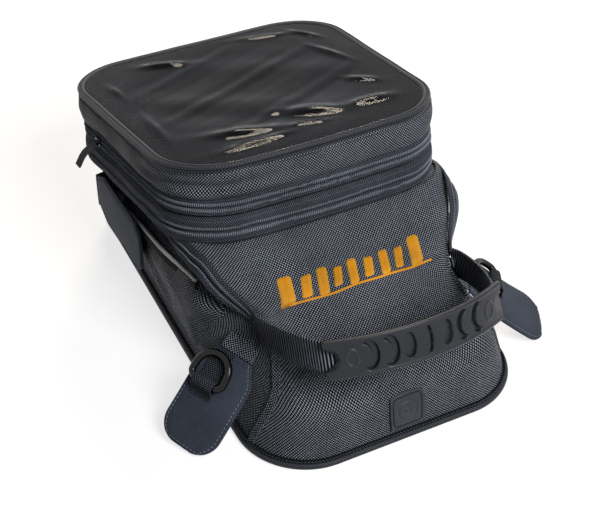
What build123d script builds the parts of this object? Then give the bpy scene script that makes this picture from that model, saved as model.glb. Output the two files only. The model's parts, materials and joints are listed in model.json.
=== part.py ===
"""Motorcycle tank bag: a wedge-shaped fabric tub, an expanding collar and a hinged map lid.

Frame: the origin is the centre of the base on the surface that it rests on, -Y is the
handle end, +X is the right-hand side and +Z is up. All sizes are in millimetres.
"""
from build123d import *
import os
from math import cos, radians, sin, tan

os.makedirs("parts", exist_ok=True)

# ---------------------------------------------------------------- driving dimensions
# tub
BASE_LENGTH = 379.0
BASE_HALF_FRONT = 114.0
BASE_HALF_REAR = 105.0
NOSE_RADIUS = 54.0
TAIL_RADIUS = 30.0
WALL = 3.0
BASE_THICK = 5.0
PIPING = 3.5
BOARD_THICK = 3.0
BOARD_MARGIN = 8.0
SNOUT_BACK_Y = -105.0
SHOULDER_Y = -52.0
# half-widths at nose, snout back, shoulder and tail, given as steps in from the base
WAIST_HEIGHT = 60.0
WAIST_STEPS = (26.0, 26.0, 2.0, -4.0)
WAIST_RADIUS = 45.0
CROWN_HEIGHT = 150.0
CROWN_STEPS = (92.0, 90.0, 25.0, -7.0)
CROWN_RADIUS = 14.0
# side view of the nose, as steps back from its foremost point and heights
HEEL_STEP, HEEL_Z = 2.0, 22.0
NOSE_STEP, NOSE_Z = 16.5, 56.0
SNOUT_STEP, SNOUT_TOP_Z = 49.5, 78.0
# the front panel's side seams, as steps in from the base's half-width
SEAM_STEPS = (2.0, 17.0, 32.0, 16.0)

# lid and collar, measured in the lid's own plane and square to it
LID_TILT = 10.6
LID_LENGTH = 249.0
LID_REAR_OVERHANG = 17.38
LID_REAR_Z = 140.7
LID_HALF_FRONT = 119.5
LID_HALF_REAR = 124.0
LID_CORNER = 51.0
LID_BOW = 7.0
BAND_DEPTH = 28.0
ZIP_DEPTH = 14.0
GROOVE_DEPTH = 2.0
COLLAR_DEPTH = 25.0
RING_WALL = 6.0
ZIP_INSET = 2.0
GROOVE_INSET = 5.0
COLLAR_INSET = 3.0
GUSSET_THICK = 1.5
RIM_PLATE = 3.0
MOUTH_INSET = 22.0
WELT_HEIGHT = 5.0
WELT_PROUD = 1.0
WINDOW_THICK = 1.0
MAP_GAP = 12.0
TAB_SIZE = 14.0
TAB_X = -20.0
TAB_THICK = 2.5

# side pockets, drawn in side view; heights are taken down from the rim above them
POCKET_FRONT_Y = SHOULDER_Y + 2.0
POCKET_REAR_Y = 116.0
POCKET_NECK_Y = SNOUT_BACK_Y + 25.0
POCKET_FRONT_DROP = 12.5
POCKET_REAR_DROP = 12.5
POCKET_FOOT = (18.0, 24.0)
POCKET_MARGIN = 5.0
ZIP_STRIP_LIFT = 6.3
POCKET_BULGE = 13.0
POCKET_SKIN = 2.5
POCKET_HALF = 118.0
POCKET_CORNER = 10.0
POCKET_TAPE = 8.0
TRIM_THICK = 1.5
REFLECTIVE_WIDTH = 3.0

# zip sliders and pullers
SLIDER_LENGTH = 12.0
SLIDER_HEIGHT = 7.0
SLIDER_THICK = 4.0
PULLER_WIDTH = 6.0
PULLER_LENGTH = 22.0
PULLER_THICK = 1.6
STRAP_LENGTH = 42.0
MAIN_SLIDER_ALONG = 46.5
EXPANSION_SLIDER_ALONG = -58.0
POCKET_SLIDER_Y = 96.0
BRIDGE_HEIGHT = 1.5

# front trim
PATCH_SIZE = 30.0
PATCH_THICK = 2.0
PATCH_CENTRE_Z = 27.0
THREAD_THICK = 0.8
MOTIF_Y = -99.0
MOTIF_LENGTH = 134.0
MOTIF_HEIGHT = 20.0
MOTIF_BARS = 7

# handle
WEBBING_WIDTH = 25.0
WEBBING_THICK = 2.5
EXIT_HALF = 87.0
EXIT_Y = SNOUT_BACK_Y + 1.0
EXIT_Z = 80.0
ANCHOR_RADIUS = 5.0
GRIP_HALF = 70.0
GRIP_HEIGHT = 30.0
GRIP_THICK = 5.0
GRIP_REACH = 89.0
GRIP_BOW = 18.0
HANDLE_RISE = 20.0

# flaps
FLAP_WIDTH = 52.0
FLAP_ROOT = 34.0
FLAP_LENGTH = 82.0
COVER_THICK = 1.2
BACKING_THICK = 2.6
MAGNET_RADIUS = 12.0
MAGNET_THICK = 1.8
FRONT_FLAP_ROOT = (-104.0, EXIT_Y, 58.5)
REAR_FLAP_LENGTH = 98.0
REAR_FLAP_ROOT = (-125.2, 137.0, 60.0)

# D-rings
D_INNER_WIDTH = 22.0
D_INNER_LENGTH = 19.0
D_WIRE = 4.5
D_BAR_ALONG = 30.0
D_SIDE = 8.0
LOOP_THICK = 1.2
LOOP_WIDTH = 20.0

# clearances
SKIN_GAP = 0.1
RUN_GAP = 0.4
HINGE_GAP = 0.6
BAR_GAP = 1.2

# ---------------------------------------------------------------- derived levels and planes
TILT = radians(LID_TILT)
HALF_LID = LID_LENGTH / 2
LID_CENTRE_Y = BASE_LENGTH / 2 + LID_REAR_OVERHANG - HALF_LID * cos(TILT)
LID_CENTRE_Z = LID_REAR_Z + HALF_LID * sin(TILT)
LID_PLANE = Plane(
    origin=(0, LID_CENTRE_Y, LID_CENTRE_Z), x_dir=(1, 0, 0), z_dir=(0, sin(TILT), cos(TILT))
)
ZIP_TOP = -BAND_DEPTH
ZIP_SPLIT = ZIP_TOP - ZIP_DEPTH / 2
ZIP_BOTTOM = ZIP_TOP - ZIP_DEPTH
RIM_LEVEL = ZIP_BOTTOM - COLLAR_DEPTH
COLLAR_SPLIT = RIM_LEVEL + (COLLAR_DEPTH - GROOVE_DEPTH) / 2
TUB_TOP = RIM_LEVEL - RIM_PLATE


def lid_point(x, along, level):
    """World position of a point given in the lid's own directions."""
    return LID_PLANE.from_local_coords((x, along, level))


def under_rim(y, drop):
    """Height of a point at a given y and a given drop below the rim's underside."""
    return LID_CENTRE_Z + TUB_TOP / cos(TILT) - (y - LID_CENTRE_Y) * tan(TILT) - drop


RIM_FRONT = lid_point(0, -HALF_LID, RIM_LEVEL)
ROOT_SWING = (HINGE_GAP**2 + BACKING_THICK**2) ** 0.5 + RUN_GAP
NOSE_Y = -BASE_LENGTH / 2
RISE = radians(HANDLE_RISE)
HANDLE_PLANE = Plane(
    origin=(0, EXIT_Y, EXIT_Z), x_dir=(1, 0, 0), z_dir=(0, sin(RISE), cos(RISE))
)
FRONT_FLAP_PLANE = Plane(
    origin=FRONT_FLAP_ROOT, x_dir=(-0.428, 0.898, 0.102), z_dir=(-0.57, -0.356, 0.74)
)
REAR_FLAP_PLANE = Plane(origin=REAR_FLAP_ROOT, x_dir=(0, 0, -1), z_dir=(-1, 0, 0))


# ---------------------------------------------------------------- shared shapes
def save(piece, label):
    """Label a finished piece and write its STEP file."""
    piece.label = label
    export_step(piece, "parts/" + label + ".step")


def save_pair(left_piece, label):
    """Write a left-hand piece and its mirror image on the right."""
    right_piece = mirror(left_piece, about=Plane.YZ)
    save(left_piece, label + "_left")
    save(right_piece, label + "_right")


def plan_outline(halves, rear_y, grow, radius):
    """Plan of the tub at one height: half-widths at nose, snout back, shoulder and tail."""
    nose, back, shoulder, tail = [half + grow for half in halves]
    right = [(nose, NOSE_Y - grow), (back, SNOUT_BACK_Y), (shoulder, SHOULDER_Y), (tail, rear_y + grow)]
    left = [(-x, y) for x, y in reversed(right)]
    with BuildSketch() as outline:
        with BuildLine():
            Polyline(right + left, close=True)
        make_face()
        fillet(outline.vertices().group_by(Axis.Y)[0], radius=radius + grow)
        fillet(outline.vertices().group_by(Axis.Y)[-1], radius=TAIL_RADIUS + grow)
    return outline.sketch


def base_outline(grow):
    """Plan of the tub where it meets the base."""
    halves = (BASE_HALF_FRONT, BASE_HALF_FRONT - 0.5, BASE_HALF_FRONT - 1.5, BASE_HALF_REAR)
    return plan_outline(halves, BASE_LENGTH / 2, grow, NOSE_RADIUS)


def level_outline(steps, lean, grow, radius):
    """Plan of the tub higher up, stepped in from the base and leaning back at the tail."""
    bases = (BASE_HALF_FRONT, BASE_HALF_FRONT, BASE_HALF_FRONT, BASE_HALF_REAR)
    halves = [base - step for base, step in zip(bases, steps)]
    return plan_outline(halves, BASE_LENGTH / 2 + lean, grow, radius)


def tub_block(grow, bottom, top_level):
    """Solid body of the tub, grown outwards all round and cut off square to the lid plane."""
    with BuildPart() as block:
        with BuildSketch(Plane.XY.offset(bottom)):
            add(base_outline(grow))
        with BuildSketch(Plane.XY.offset(WAIST_HEIGHT)):
            add(level_outline(WAIST_STEPS, 1, grow, WAIST_RADIUS))
        with BuildSketch(Plane.XY.offset(CROWN_HEIGHT)):
            add(level_outline(CROWN_STEPS, 2, grow, CROWN_RADIUS))
        loft(ruled=True)
        with BuildSketch(Plane.YZ.offset(-2 * POCKET_HALF)):
            with BuildLine():
                toe = (NOSE_Y - 0.4 - grow, bottom - 1)
                heel = Line(toe, (NOSE_Y + HEEL_STEP - grow, HEEL_Z))
                nose = ThreePointArc(
                    heel @ 1,
                    (NOSE_Y + NOSE_STEP - 0.8 * grow, NOSE_Z + 0.6 * grow),
                    (NOSE_Y + SNOUT_STEP - 0.5 * grow, SNOUT_TOP_Z + 0.9 * grow),
                )
                brow = Line(nose @ 1, (RIM_FRONT.Y - 0.4 * grow, RIM_FRONT.Z + 0.9 * grow))
                Polyline(
                    brow @ 1,
                    (RIM_FRONT.Y - 0.4 * grow, CROWN_HEIGHT + 5),
                    (BASE_LENGTH, CROWN_HEIGHT + 5),
                    (BASE_LENGTH, bottom - 1),
                    toe,
                )
            make_face()
        extrude(amount=4 * POCKET_HALF, mode=Mode.INTERSECT)
        split(bisect_by=LID_PLANE.offset(top_level), keep=Keep.BOTTOM)
    return block.part


def lid_outline(inset):
    """Outline of the lid: a rounded rectangle, wider at the rear, with a bowed front."""
    front = LID_HALF_FRONT - inset
    rear = LID_HALF_REAR - inset
    reach = HALF_LID - inset
    with BuildSketch() as outline:
        with BuildLine():
            Polyline((front, -reach), (rear, reach), (-rear, reach), (-front, -reach))
            ThreePointArc((-front, -reach), (0, -reach - LID_BOW), (front, -reach))
        make_face()
        fillet(outline.vertices(), radius=LID_CORNER - inset)
    return outline.sketch


def lid_ring(low, high, inset, wall):
    """Closed ring that follows the lid outline between two levels."""
    with BuildPart() as ring:
        with BuildSketch(LID_PLANE.offset(low)):
            add(lid_outline(inset))
            add(lid_outline(inset + wall), mode=Mode.SUBTRACT)
        extrude(amount=high - low)
    return ring.part


def lid_plate(low, high, inset):
    """Flat plate that fills the lid outline between two levels."""
    with BuildPart() as plate:
        with BuildSketch(LID_PLANE.offset(low)):
            add(lid_outline(inset))
        extrude(amount=high - low)
    return plate.part


def side_prism(points, radius, from_x, to_x):
    """Prism through the left-hand side, drawn in side view with rounded corners."""
    with BuildPart() as prism:
        with BuildSketch(Plane.YZ.offset(from_x)) as face:
            with BuildLine():
                Polyline(points, close=True)
            make_face()
            fillet(face.vertices(), radius=radius)
        extrude(amount=to_x - from_x)
    return prism.part


# ---------------------------------------------------------------- tub
tub_outer = tub_block(0, BASE_THICK, TUB_TOP)
tub_inner = tub_block(-WALL, BASE_THICK - 1, RIM_LEVEL + 8)

with BuildPart() as front_zone:
    with BuildSketch():
        with BuildLine():
            seam_ys = (NOSE_Y - 20, NOSE_Y + NOSE_STEP - 3, SNOUT_BACK_Y, SHOULDER_Y + 7)
            right_edge = [(BASE_HALF_FRONT - step, y) for step, y in zip(SEAM_STEPS, seam_ys)]
            left_edge = [(-x, y) for x, y in reversed(right_edge)]
            Polyline(right_edge + left_edge, close=True)
        make_face()
    extrude(amount=CROWN_HEIGHT)

with BuildPart() as rear_zone:
    with Locations((0, BASE_LENGTH / 2 - TAIL_RADIUS / 2 + 50, CROWN_HEIGHT / 2)):
        Box(3 * POCKET_HALF, 100, CROWN_HEIGHT)

with BuildPart() as front_panel:
    add(tub_outer)
    add(tub_inner, mode=Mode.SUBTRACT)
    add(front_zone.part, mode=Mode.INTERSECT)
save(front_panel.part, "front_panel")

with BuildPart() as rear_panel:
    add(tub_outer)
    add(tub_inner, mode=Mode.SUBTRACT)
    add(rear_zone.part, mode=Mode.INTERSECT)
save(rear_panel.part, "rear_panel")

with BuildPart() as side_panel:
    add(tub_outer)
    add(tub_inner, mode=Mode.SUBTRACT)
    add(front_zone.part, mode=Mode.SUBTRACT)
    add(rear_zone.part, mode=Mode.SUBTRACT)
    split(bisect_by=Plane.YZ, keep=Keep.BOTTOM)
save_pair(side_panel.part, "side_panel")

with BuildPart() as base_panel:
    with BuildSketch():
        add(base_outline(0))
    extrude(amount=BASE_THICK)
save(base_panel.part, "base_panel")

with BuildPart() as base_piping:
    with BuildSketch():
        add(base_outline(PIPING))
        add(base_outline(0), mode=Mode.SUBTRACT)
    extrude(amount=BASE_THICK)
save(base_piping.part, "base_piping")

with BuildPart() as base_board:
    with BuildSketch(Plane.XY.offset(BASE_THICK)):
        add(base_outline(-BOARD_MARGIN))
    extrude(amount=BOARD_THICK)
save(base_board.part, "base_board")

with BuildPart() as rim_flange:
    add(tub_block(0, BASE_THICK, RIM_LEVEL))
    split(bisect_by=LID_PLANE.offset(TUB_TOP), keep=Keep.TOP)
    add(lid_plate(TUB_TOP, RIM_LEVEL, COLLAR_INSET))
    add(lid_plate(TUB_TOP - 1, RIM_LEVEL + 1, MOUTH_INSET), mode=Mode.SUBTRACT)
save(rim_flange.part, "rim_flange")

save(lid_ring(RIM_LEVEL, COLLAR_SPLIT - RUN_GAP / 2, COLLAR_INSET, RING_WALL), "expansion_zip_lower")

# ---------------------------------------------------------------- front trim
with BuildPart() as patch_label:
    add(tub_block(PATCH_THICK, BASE_THICK, TUB_TOP))
    add(tub_block(SKIN_GAP, BASE_THICK - 1, TUB_TOP + 1), mode=Mode.SUBTRACT)
    with BuildSketch(Plane.XZ.offset(BASE_LENGTH / 2 - 40)):
        with Locations((0, PATCH_CENTRE_Z)):
            RectangleRounded(PATCH_SIZE, PATCH_SIZE, 3)
    extrude(amount=80, mode=Mode.INTERSECT)
save(patch_label.part, "patch_label")

bar_pitch = MOTIF_LENGTH / MOTIF_BARS
with BuildPart() as embroidery:
    add(tub_block(THREAD_THICK, BASE_THICK, TUB_TOP))
    add(tub_block(SKIN_GAP, BASE_THICK - 1, TUB_TOP + 1), mode=Mode.SUBTRACT)
    with BuildSketch(Plane.XY.offset(60)):
        with Locations((0, MOTIF_Y - MOTIF_HEIGHT / 2)):
            Rectangle(MOTIF_LENGTH, 2)
        with Locations((0, MOTIF_Y)):
            with GridLocations(bar_pitch, 1, MOTIF_BARS, 1):
                Rectangle(bar_pitch / 2, MOTIF_HEIGHT, rotation=-20)
    extrude(amount=80, mode=Mode.INTERSECT)
save(embroidery.part, "embroidery")

# ---------------------------------------------------------------- side pockets
pocket_low, pocket_tail = POCKET_FOOT
pocket_points = [
    (POCKET_NECK_Y, under_rim(POCKET_NECK_Y, POCKET_FRONT_DROP + 30.6)),
    (POCKET_FRONT_Y, under_rim(POCKET_FRONT_Y, POCKET_FRONT_DROP)),
    (POCKET_REAR_Y, under_rim(POCKET_REAR_Y, POCKET_REAR_DROP)),
    (POCKET_REAR_Y, pocket_tail),
    (POCKET_FRONT_Y - 2, pocket_low),
    (POCKET_FRONT_Y - 12, 2.5 * pocket_low),
]
pocket_core = [
    (POCKET_NECK_Y + POCKET_MARGIN, pocket_points[0][1] - 2),
    (POCKET_FRONT_Y, pocket_points[1][1] - POCKET_MARGIN),
    (POCKET_REAR_Y - POCKET_MARGIN, pocket_points[2][1] - 4),
    (POCKET_REAR_Y - POCKET_MARGIN, pocket_tail + POCKET_MARGIN),
    (POCKET_FRONT_Y + 1, pocket_low + POCKET_MARGIN),
    (POCKET_FRONT_Y - 8, 2.5 * pocket_low),
]
slab_outer = (-POCKET_HALF, -60)
slab_inner = (-POCKET_HALF + POCKET_SKIN, -60)
with BuildPart() as side_pocket:
    add(tub_block(POCKET_BULGE, BASE_THICK, TUB_TOP))
    add(side_prism(pocket_points, POCKET_CORNER, *slab_outer), mode=Mode.INTERSECT)
    add(
        tub_block(POCKET_BULGE - POCKET_SKIN, BASE_THICK - 1, TUB_TOP + 2)
        & side_prism(pocket_core, POCKET_CORNER - POCKET_SKIN, *slab_inner),
        mode=Mode.SUBTRACT,
    )
    add(tub_block(SKIN_GAP, BASE_THICK - 1, TUB_TOP + 2), mode=Mode.SUBTRACT)
save_pair(side_pocket.part, "side_pocket")


def wall_strip(points, width, thick):
    """Strip laid on the left-hand wall along a line drawn in side view."""
    with BuildPart() as strip:
        add(tub_block(thick, BASE_THICK, TUB_TOP))
        add(tub_block(SKIN_GAP, BASE_THICK - 1, TUB_TOP + 1), mode=Mode.SUBTRACT)
        with BuildSketch(Plane.YZ.offset(-2 * POCKET_HALF)):
            with BuildLine():
                Polyline(points)
            trace(line_width=width)
        extrude(amount=2 * POCKET_HALF - 60, mode=Mode.INTERSECT)
    return strip.part


zip_run = [
    (POCKET_NECK_Y - 12, pocket_points[0][1] + 3),
    (SHOULDER_Y, pocket_points[1][1] + ZIP_STRIP_LIFT),
    (POCKET_REAR_Y, pocket_points[2][1] + ZIP_STRIP_LIFT),
]
save_pair(wall_strip(zip_run, POCKET_TAPE, TRIM_THICK), "pocket_zip")

with BuildPart() as reflective_piping:
    with BuildSketch(Plane.YZ.offset(-POCKET_HALF - 1.2)):
        with BuildLine():
            Polyline(
                (POCKET_FRONT_Y + 14, pocket_points[1][1] - 9),
                (POCKET_REAR_Y - 12, pocket_points[2][1] - 4),
            )
        trace(line_width=REFLECTIVE_WIDTH)
    extrude(amount=1.2)
save_pair(reflective_piping.part, "reflective_piping")

# ---------------------------------------------------------------- collar
save(lid_ring(ZIP_BOTTOM, ZIP_SPLIT - RUN_GAP / 2, ZIP_INSET, RING_WALL), "main_zip_lower")
save(lid_ring(ZIP_BOTTOM - GROOVE_DEPTH, ZIP_BOTTOM, GROOVE_INSET, RING_WALL), "collar_binding")
save(
    lid_ring(COLLAR_SPLIT + RUN_GAP / 2, ZIP_BOTTOM - GROOVE_DEPTH, COLLAR_INSET, RING_WALL),
    "expansion_zip_upper",
)
save(
    lid_ring(RIM_LEVEL + 1, ZIP_BOTTOM - GROOVE_DEPTH - 1, COLLAR_INSET + RING_WALL + 0.3, GUSSET_THICK),
    "expansion_gusset",
)
with BuildPart() as lid_hinge_tape:
    with BuildSketch(LID_PLANE.offset(COLLAR_SPLIT + 2)):
        with Locations((0, HALF_LID - ZIP_INSET + TRIM_THICK / 2)):
            Rectangle(LID_HALF_REAR, TRIM_THICK)
    extrude(amount=ZIP_SPLIT - HINGE_GAP - COLLAR_SPLIT - 2)
save(lid_hinge_tape.part, "lid_hinge_tape")

# ---------------------------------------------------------------- lid
save(lid_ring(ZIP_SPLIT + RUN_GAP / 2, ZIP_TOP, ZIP_INSET, RING_WALL), "main_zip_upper")
save(lid_ring(ZIP_TOP, -WELT_HEIGHT, 0, RING_WALL), "lid_band")
with BuildPart() as lid_welt:
    add(lid_ring(-WELT_HEIGHT, 0, -WELT_PROUD, RING_WALL))
    upward = Axis((0, 0, 0), tuple(LID_PLANE.z_dir))
    fillet(lid_welt.faces().sort_by(upward)[-1].edges(), radius=2)
save(lid_welt.part, "lid_welt")
window_inset = RING_WALL - WELT_PROUD
save(lid_plate(-1 - WINDOW_THICK, -1, window_inset), "map_window")
map_floor_top = -1 - WINDOW_THICK - MAP_GAP
save(lid_plate(map_floor_top - TRIM_THICK, map_floor_top, RING_WALL), "map_pocket_floor")
with BuildPart() as lid_pull_tab:
    with BuildSketch(LID_PLANE.offset(-WELT_HEIGHT)):
        with Locations((TAB_X, HALF_LID + WELT_PROUD + TAB_SIZE / 4)):
            Rectangle(TAB_SIZE, TAB_SIZE / 2)
    extrude(amount=TAB_THICK)
save(lid_pull_tab.part, "lid_pull_tab")


# ---------------------------------------------------------------- zip sliders and pullers
def zip_slider(place):
    """Slider body that stands off its tape; the plane's z points away from the tape."""
    with BuildPart() as slider:
        with BuildSketch(place.offset(RUN_GAP)):
            RectangleRounded(SLIDER_LENGTH, SLIDER_HEIGHT, 2)
        extrude(amount=SLIDER_THICK)
        with BuildSketch(place.offset(RUN_GAP + SLIDER_THICK)):
            Rectangle(SLIDER_LENGTH / 2, SLIDER_HEIGHT / 3)
        extrude(amount=BRIDGE_HEIGHT)
    return slider.part


def zip_puller(place):
    """Flat puller beside its slider, lying along the zip, with a round root that it turns on."""
    barrel = PULLER_THICK / 2
    hinge_at = SLIDER_LENGTH / 2 + HINGE_GAP + barrel
    hinge_line = place.from_local_coords((hinge_at, 0, RUN_GAP + SLIDER_THICK - barrel))
    with BuildPart() as puller:
        with BuildSketch(place.offset(RUN_GAP + SLIDER_THICK - PULLER_THICK)) as blade:
            with Locations((hinge_at + PULLER_LENGTH / 2, 0)):
                Rectangle(PULLER_LENGTH, PULLER_WIDTH)
            with Locations((hinge_at + PULLER_LENGTH - 5, 0)):
                Circle(1.5, mode=Mode.SUBTRACT)
        extrude(amount=PULLER_THICK)
        with BuildSketch(Plane(origin=hinge_line, x_dir=place.x_dir, z_dir=place.y_dir)):
            Circle(barrel)
        extrude(amount=PULLER_WIDTH / 2, both=True)
    return puller.part


def edge_x(along, inset):
    """Half-width of the lid outline part-way along its straight side."""
    return LID_HALF_FRONT + (LID_HALF_REAR - LID_HALF_FRONT) * (along + HALF_LID) / LID_LENGTH - inset


side_slope = (LID_HALF_REAR - LID_HALF_FRONT) / LID_LENGTH
rearward = LID_PLANE.y_dir
left_zip_dir = Vector(-side_slope, rearward.Y, rearward.Z)
right_zip_dir = Vector(side_slope, rearward.Y, rearward.Z)
left_outward = left_zip_dir.cross(LID_PLANE.z_dir) * -1
right_outward = right_zip_dir.cross(LID_PLANE.z_dir)

main_place = Plane(
    origin=lid_point(-edge_x(MAIN_SLIDER_ALONG, ZIP_INSET), MAIN_SLIDER_ALONG, ZIP_SPLIT),
    x_dir=left_zip_dir,
    z_dir=left_outward,
)
save(zip_slider(main_place), "main_zip_slider")
strap_root = main_place.from_local_coords((0, 0, RUN_GAP + SLIDER_THICK + BRIDGE_HEIGHT + HINGE_GAP))
strap_place = Plane(origin=strap_root, x_dir=(-0.23, 0.51, -0.83), z_dir=(-0.91, -0.41, 0.0))
with BuildPart() as main_zip_puller:
    with BuildSketch(strap_place):
        with Locations((STRAP_LENGTH / 2, 0)):
            Rectangle(STRAP_LENGTH, PULLER_WIDTH)
    extrude(amount=PULLER_THICK)
save(main_zip_puller.part, "main_zip_puller")

expansion_place = Plane(
    origin=lid_point(edge_x(EXPANSION_SLIDER_ALONG, COLLAR_INSET), EXPANSION_SLIDER_ALONG, COLLAR_SPLIT),
    x_dir=right_zip_dir,
    z_dir=right_outward,
)
save(zip_slider(expansion_place), "expansion_zip_slider")
save(zip_puller(expansion_place), "expansion_zip_puller")

pocket_place = Plane(
    origin=(-110.4, POCKET_SLIDER_Y, 83.5), x_dir=(-0.048, 0.982, -0.184), z_dir=(-1, -0.048, 0.0)
)
save_pair(zip_slider(pocket_place), "pocket_zip_slider")
save_pair(zip_puller(pocket_place), "pocket_zip_puller")


# ---------------------------------------------------------------- handle
with BuildPart() as handle_webbing:
    with BuildSketch(HANDLE_PLANE.offset(-WEBBING_WIDTH / 2)):
        with BuildLine():
            left_leg = Line((-EXIT_HALF, -ANCHOR_RADIUS - HINGE_GAP), (-GRIP_HALF, -GRIP_REACH))
            ThreePointArc(left_leg @ 1, (0, -GRIP_REACH - GRIP_BOW), (GRIP_HALF, -GRIP_REACH))
            Line((GRIP_HALF, -GRIP_REACH), (EXIT_HALF, -ANCHOR_RADIUS - HINGE_GAP))
        trace(line_width=WEBBING_THICK)
    extrude(amount=WEBBING_WIDTH)
save(handle_webbing.part, "handle_webbing")

# the grip follows the strap's own arc, one radius further out
strap_radius = (GRIP_HALF**2 + GRIP_BOW**2) / (2 * GRIP_BOW)
arc_centre = -GRIP_REACH - GRIP_BOW + strap_radius
grip_scale = 1 + (WEBBING_THICK + GRIP_THICK) / 2 / strap_radius
grip_end = (GRIP_HALF * grip_scale, arc_centre - (arc_centre + GRIP_REACH) * grip_scale)
with BuildPart() as handle_grip:
    with BuildSketch(HANDLE_PLANE.offset(-GRIP_HEIGHT / 2)):
        with BuildLine():
            middle = (0, arc_centre - strap_radius * grip_scale)
            ThreePointArc((-grip_end[0], grip_end[1]), middle, grip_end)
        trace(line_width=GRIP_THICK)
    extrude(amount=GRIP_HEIGHT)
    window_plane = Plane(
        origin=HANDLE_PLANE.from_local_coords((0, -GRIP_REACH, 0)),
        x_dir=(1, 0, 0),
        z_dir=HANDLE_PLANE.y_dir * -1,
    )
    with BuildSketch(window_plane):
        with Locations((-15, 0), (15, 0)):
            Ellipse(5, 9)
        with Locations((-30, 0), (30, 0), (-44, 0), (44, 0)):
            Ellipse(3, 10)
    extrude(amount=40, mode=Mode.SUBTRACT)
save(handle_grip.part, "handle_grip")

with BuildPart() as handle_anchor:
    with BuildSketch(Plane.YZ.offset(-EXIT_HALF - 3)):
        with Locations((EXIT_Y, EXIT_Z)):
            Circle(ANCHOR_RADIUS)
    extrude(amount=22)
    add(tub_block(SKIN_GAP, BASE_THICK - 1, TUB_TOP + 1), mode=Mode.SUBTRACT)
save_pair(handle_anchor.part, "handle_anchor")


# ---------------------------------------------------------------- magnetic flaps
def flap_outline(length):
    """Outline of a flap: a narrow sewn root, straight edges and a rounded end."""
    half = FLAP_WIDTH / 2
    root = FLAP_ROOT / 2
    with BuildSketch() as outline:
        with BuildLine():
            Polyline(
                (-root, HINGE_GAP), (-half, FLAP_ROOT / 2), (-half, length), (half, length),
                (half, FLAP_ROOT / 2), (root, HINGE_GAP), close=True,
            )
        make_face()
        fillet(outline.vertices().group_by(Axis.Y)[-1], radius=half * 0.8)
        fillet(outline.vertices().group_by(Axis.Y)[1], radius=half * 0.8)
    return outline.sketch


def magnet_spots(length):
    """Positions of the magnets inside a flap."""
    return [(0, length - FLAP_WIDTH / 2), (0, length - FLAP_WIDTH / 2 - 2.4 * MAGNET_RADIUS)]


def flap_cover(place, length):
    """Outer leather-look skin of a flap."""
    with BuildPart() as cover:
        with BuildSketch(place):
            add(flap_outline(length))
        extrude(amount=COVER_THICK)
    return cover.part


def flap_magnets(place, length):
    """Disc magnets sealed between the two skins of a flap."""
    with BuildPart() as magnets:
        with BuildSketch(place.offset(-MAGNET_THICK)):
            with Locations(*magnet_spots(length)):
                Circle(MAGNET_RADIUS)
        extrude(amount=MAGNET_THICK)
    return magnets.part


def flap_backing(place, length):
    """Soft inner skin of a flap, with a seat for each magnet."""
    with BuildPart() as backing:
        with BuildSketch(place.offset(-BACKING_THICK)):
            add(flap_outline(length))
        extrude(amount=BACKING_THICK)
        add(flap_magnets(place, length), mode=Mode.SUBTRACT)
    return backing.part


def flap_anchor(place, width, reach, depth):
    """Folded webbing from a flap's hinge line to the tub wall, hollowed so the flap's root can turn."""
    with BuildPart() as anchor:
        with BuildSketch(place.offset(COVER_THICK)):
            with Locations((0, -reach / 2)):
                Rectangle(width, reach)
        extrude(amount=-depth)
        with BuildSketch(Plane(origin=place.origin, x_dir=place.y_dir, z_dir=place.x_dir)):
            Circle(ROOT_SWING)
        extrude(amount=width, both=True, mode=Mode.SUBTRACT)
        add(tub_block(SKIN_GAP, BASE_THICK - 1, TUB_TOP + 1), mode=Mode.SUBTRACT)
    return anchor.part


for end, place, length, anchor_size in (
    ("front", FRONT_FLAP_PLANE, FLAP_LENGTH, (30, 14, 24)),
    ("rear", REAR_FLAP_PLANE, REAR_FLAP_LENGTH, (34, 12, 20)),
):
    save_pair(flap_cover(place, length), end + "_flap_cover")
    save_pair(flap_backing(place, length), end + "_flap_backing")
    save_pair(flap_magnets(place, length), end + "_flap_magnets")
    save_pair(flap_anchor(place, *anchor_size), end + "_flap_anchor")

# ---------------------------------------------------------------- D-rings on the front flaps
bore = D_WIRE / 2 + BAR_GAP
bar_height = COVER_THICK + bore + LOOP_THICK
ring_plane = FRONT_FLAP_PLANE.offset(bar_height - D_WIRE / 2)


def d_shape(grow):
    """Outline of the ring: a straight bar, two arms and a round end, grown outwards."""
    half = D_INNER_WIDTH / 2 + grow
    bar = D_BAR_ALONG - D_WIRE / 2 + grow
    with BuildSketch() as shape:
        with BuildLine():
            arms = D_BAR_ALONG - D_WIRE / 2 - D_INNER_LENGTH + D_INNER_WIDTH / 2
            Polyline((-half, arms), (-half, bar), (half, bar), (half, arms))
            ThreePointArc((half, arms), (0, arms - half), (-half, arms))
        make_face()
    return shape.sketch


with BuildPart() as d_ring:
    with BuildSketch(ring_plane):
        with Locations((D_SIDE, 0)):
            add(d_shape(D_WIRE))
            add(d_shape(0), mode=Mode.SUBTRACT)
    extrude(amount=D_WIRE)
    fillet(d_ring.edges().filter_by(GeomType.CIRCLE), radius=1.2)
save_pair(d_ring.part, "d_ring")

with BuildPart() as d_ring_loop:
    section = Plane(
        origin=FRONT_FLAP_PLANE.from_local_coords((D_SIDE - LOOP_WIDTH / 2, D_BAR_ALONG, bar_height)),
        x_dir=FRONT_FLAP_PLANE.y_dir,
        z_dir=FRONT_FLAP_PLANE.x_dir,
    )
    with BuildSketch(section):
        Circle(bore + LOOP_THICK)
        with Locations((-D_BAR_ALONG / 2 + 2, -bore - LOOP_THICK / 2)):
            Rectangle(D_BAR_ALONG - 4, LOOP_THICK)
        Circle(bore, mode=Mode.SUBTRACT)
    extrude(amount=LOOP_WIDTH)
save_pair(d_ring_loop.part, "d_ring_loop")
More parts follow.
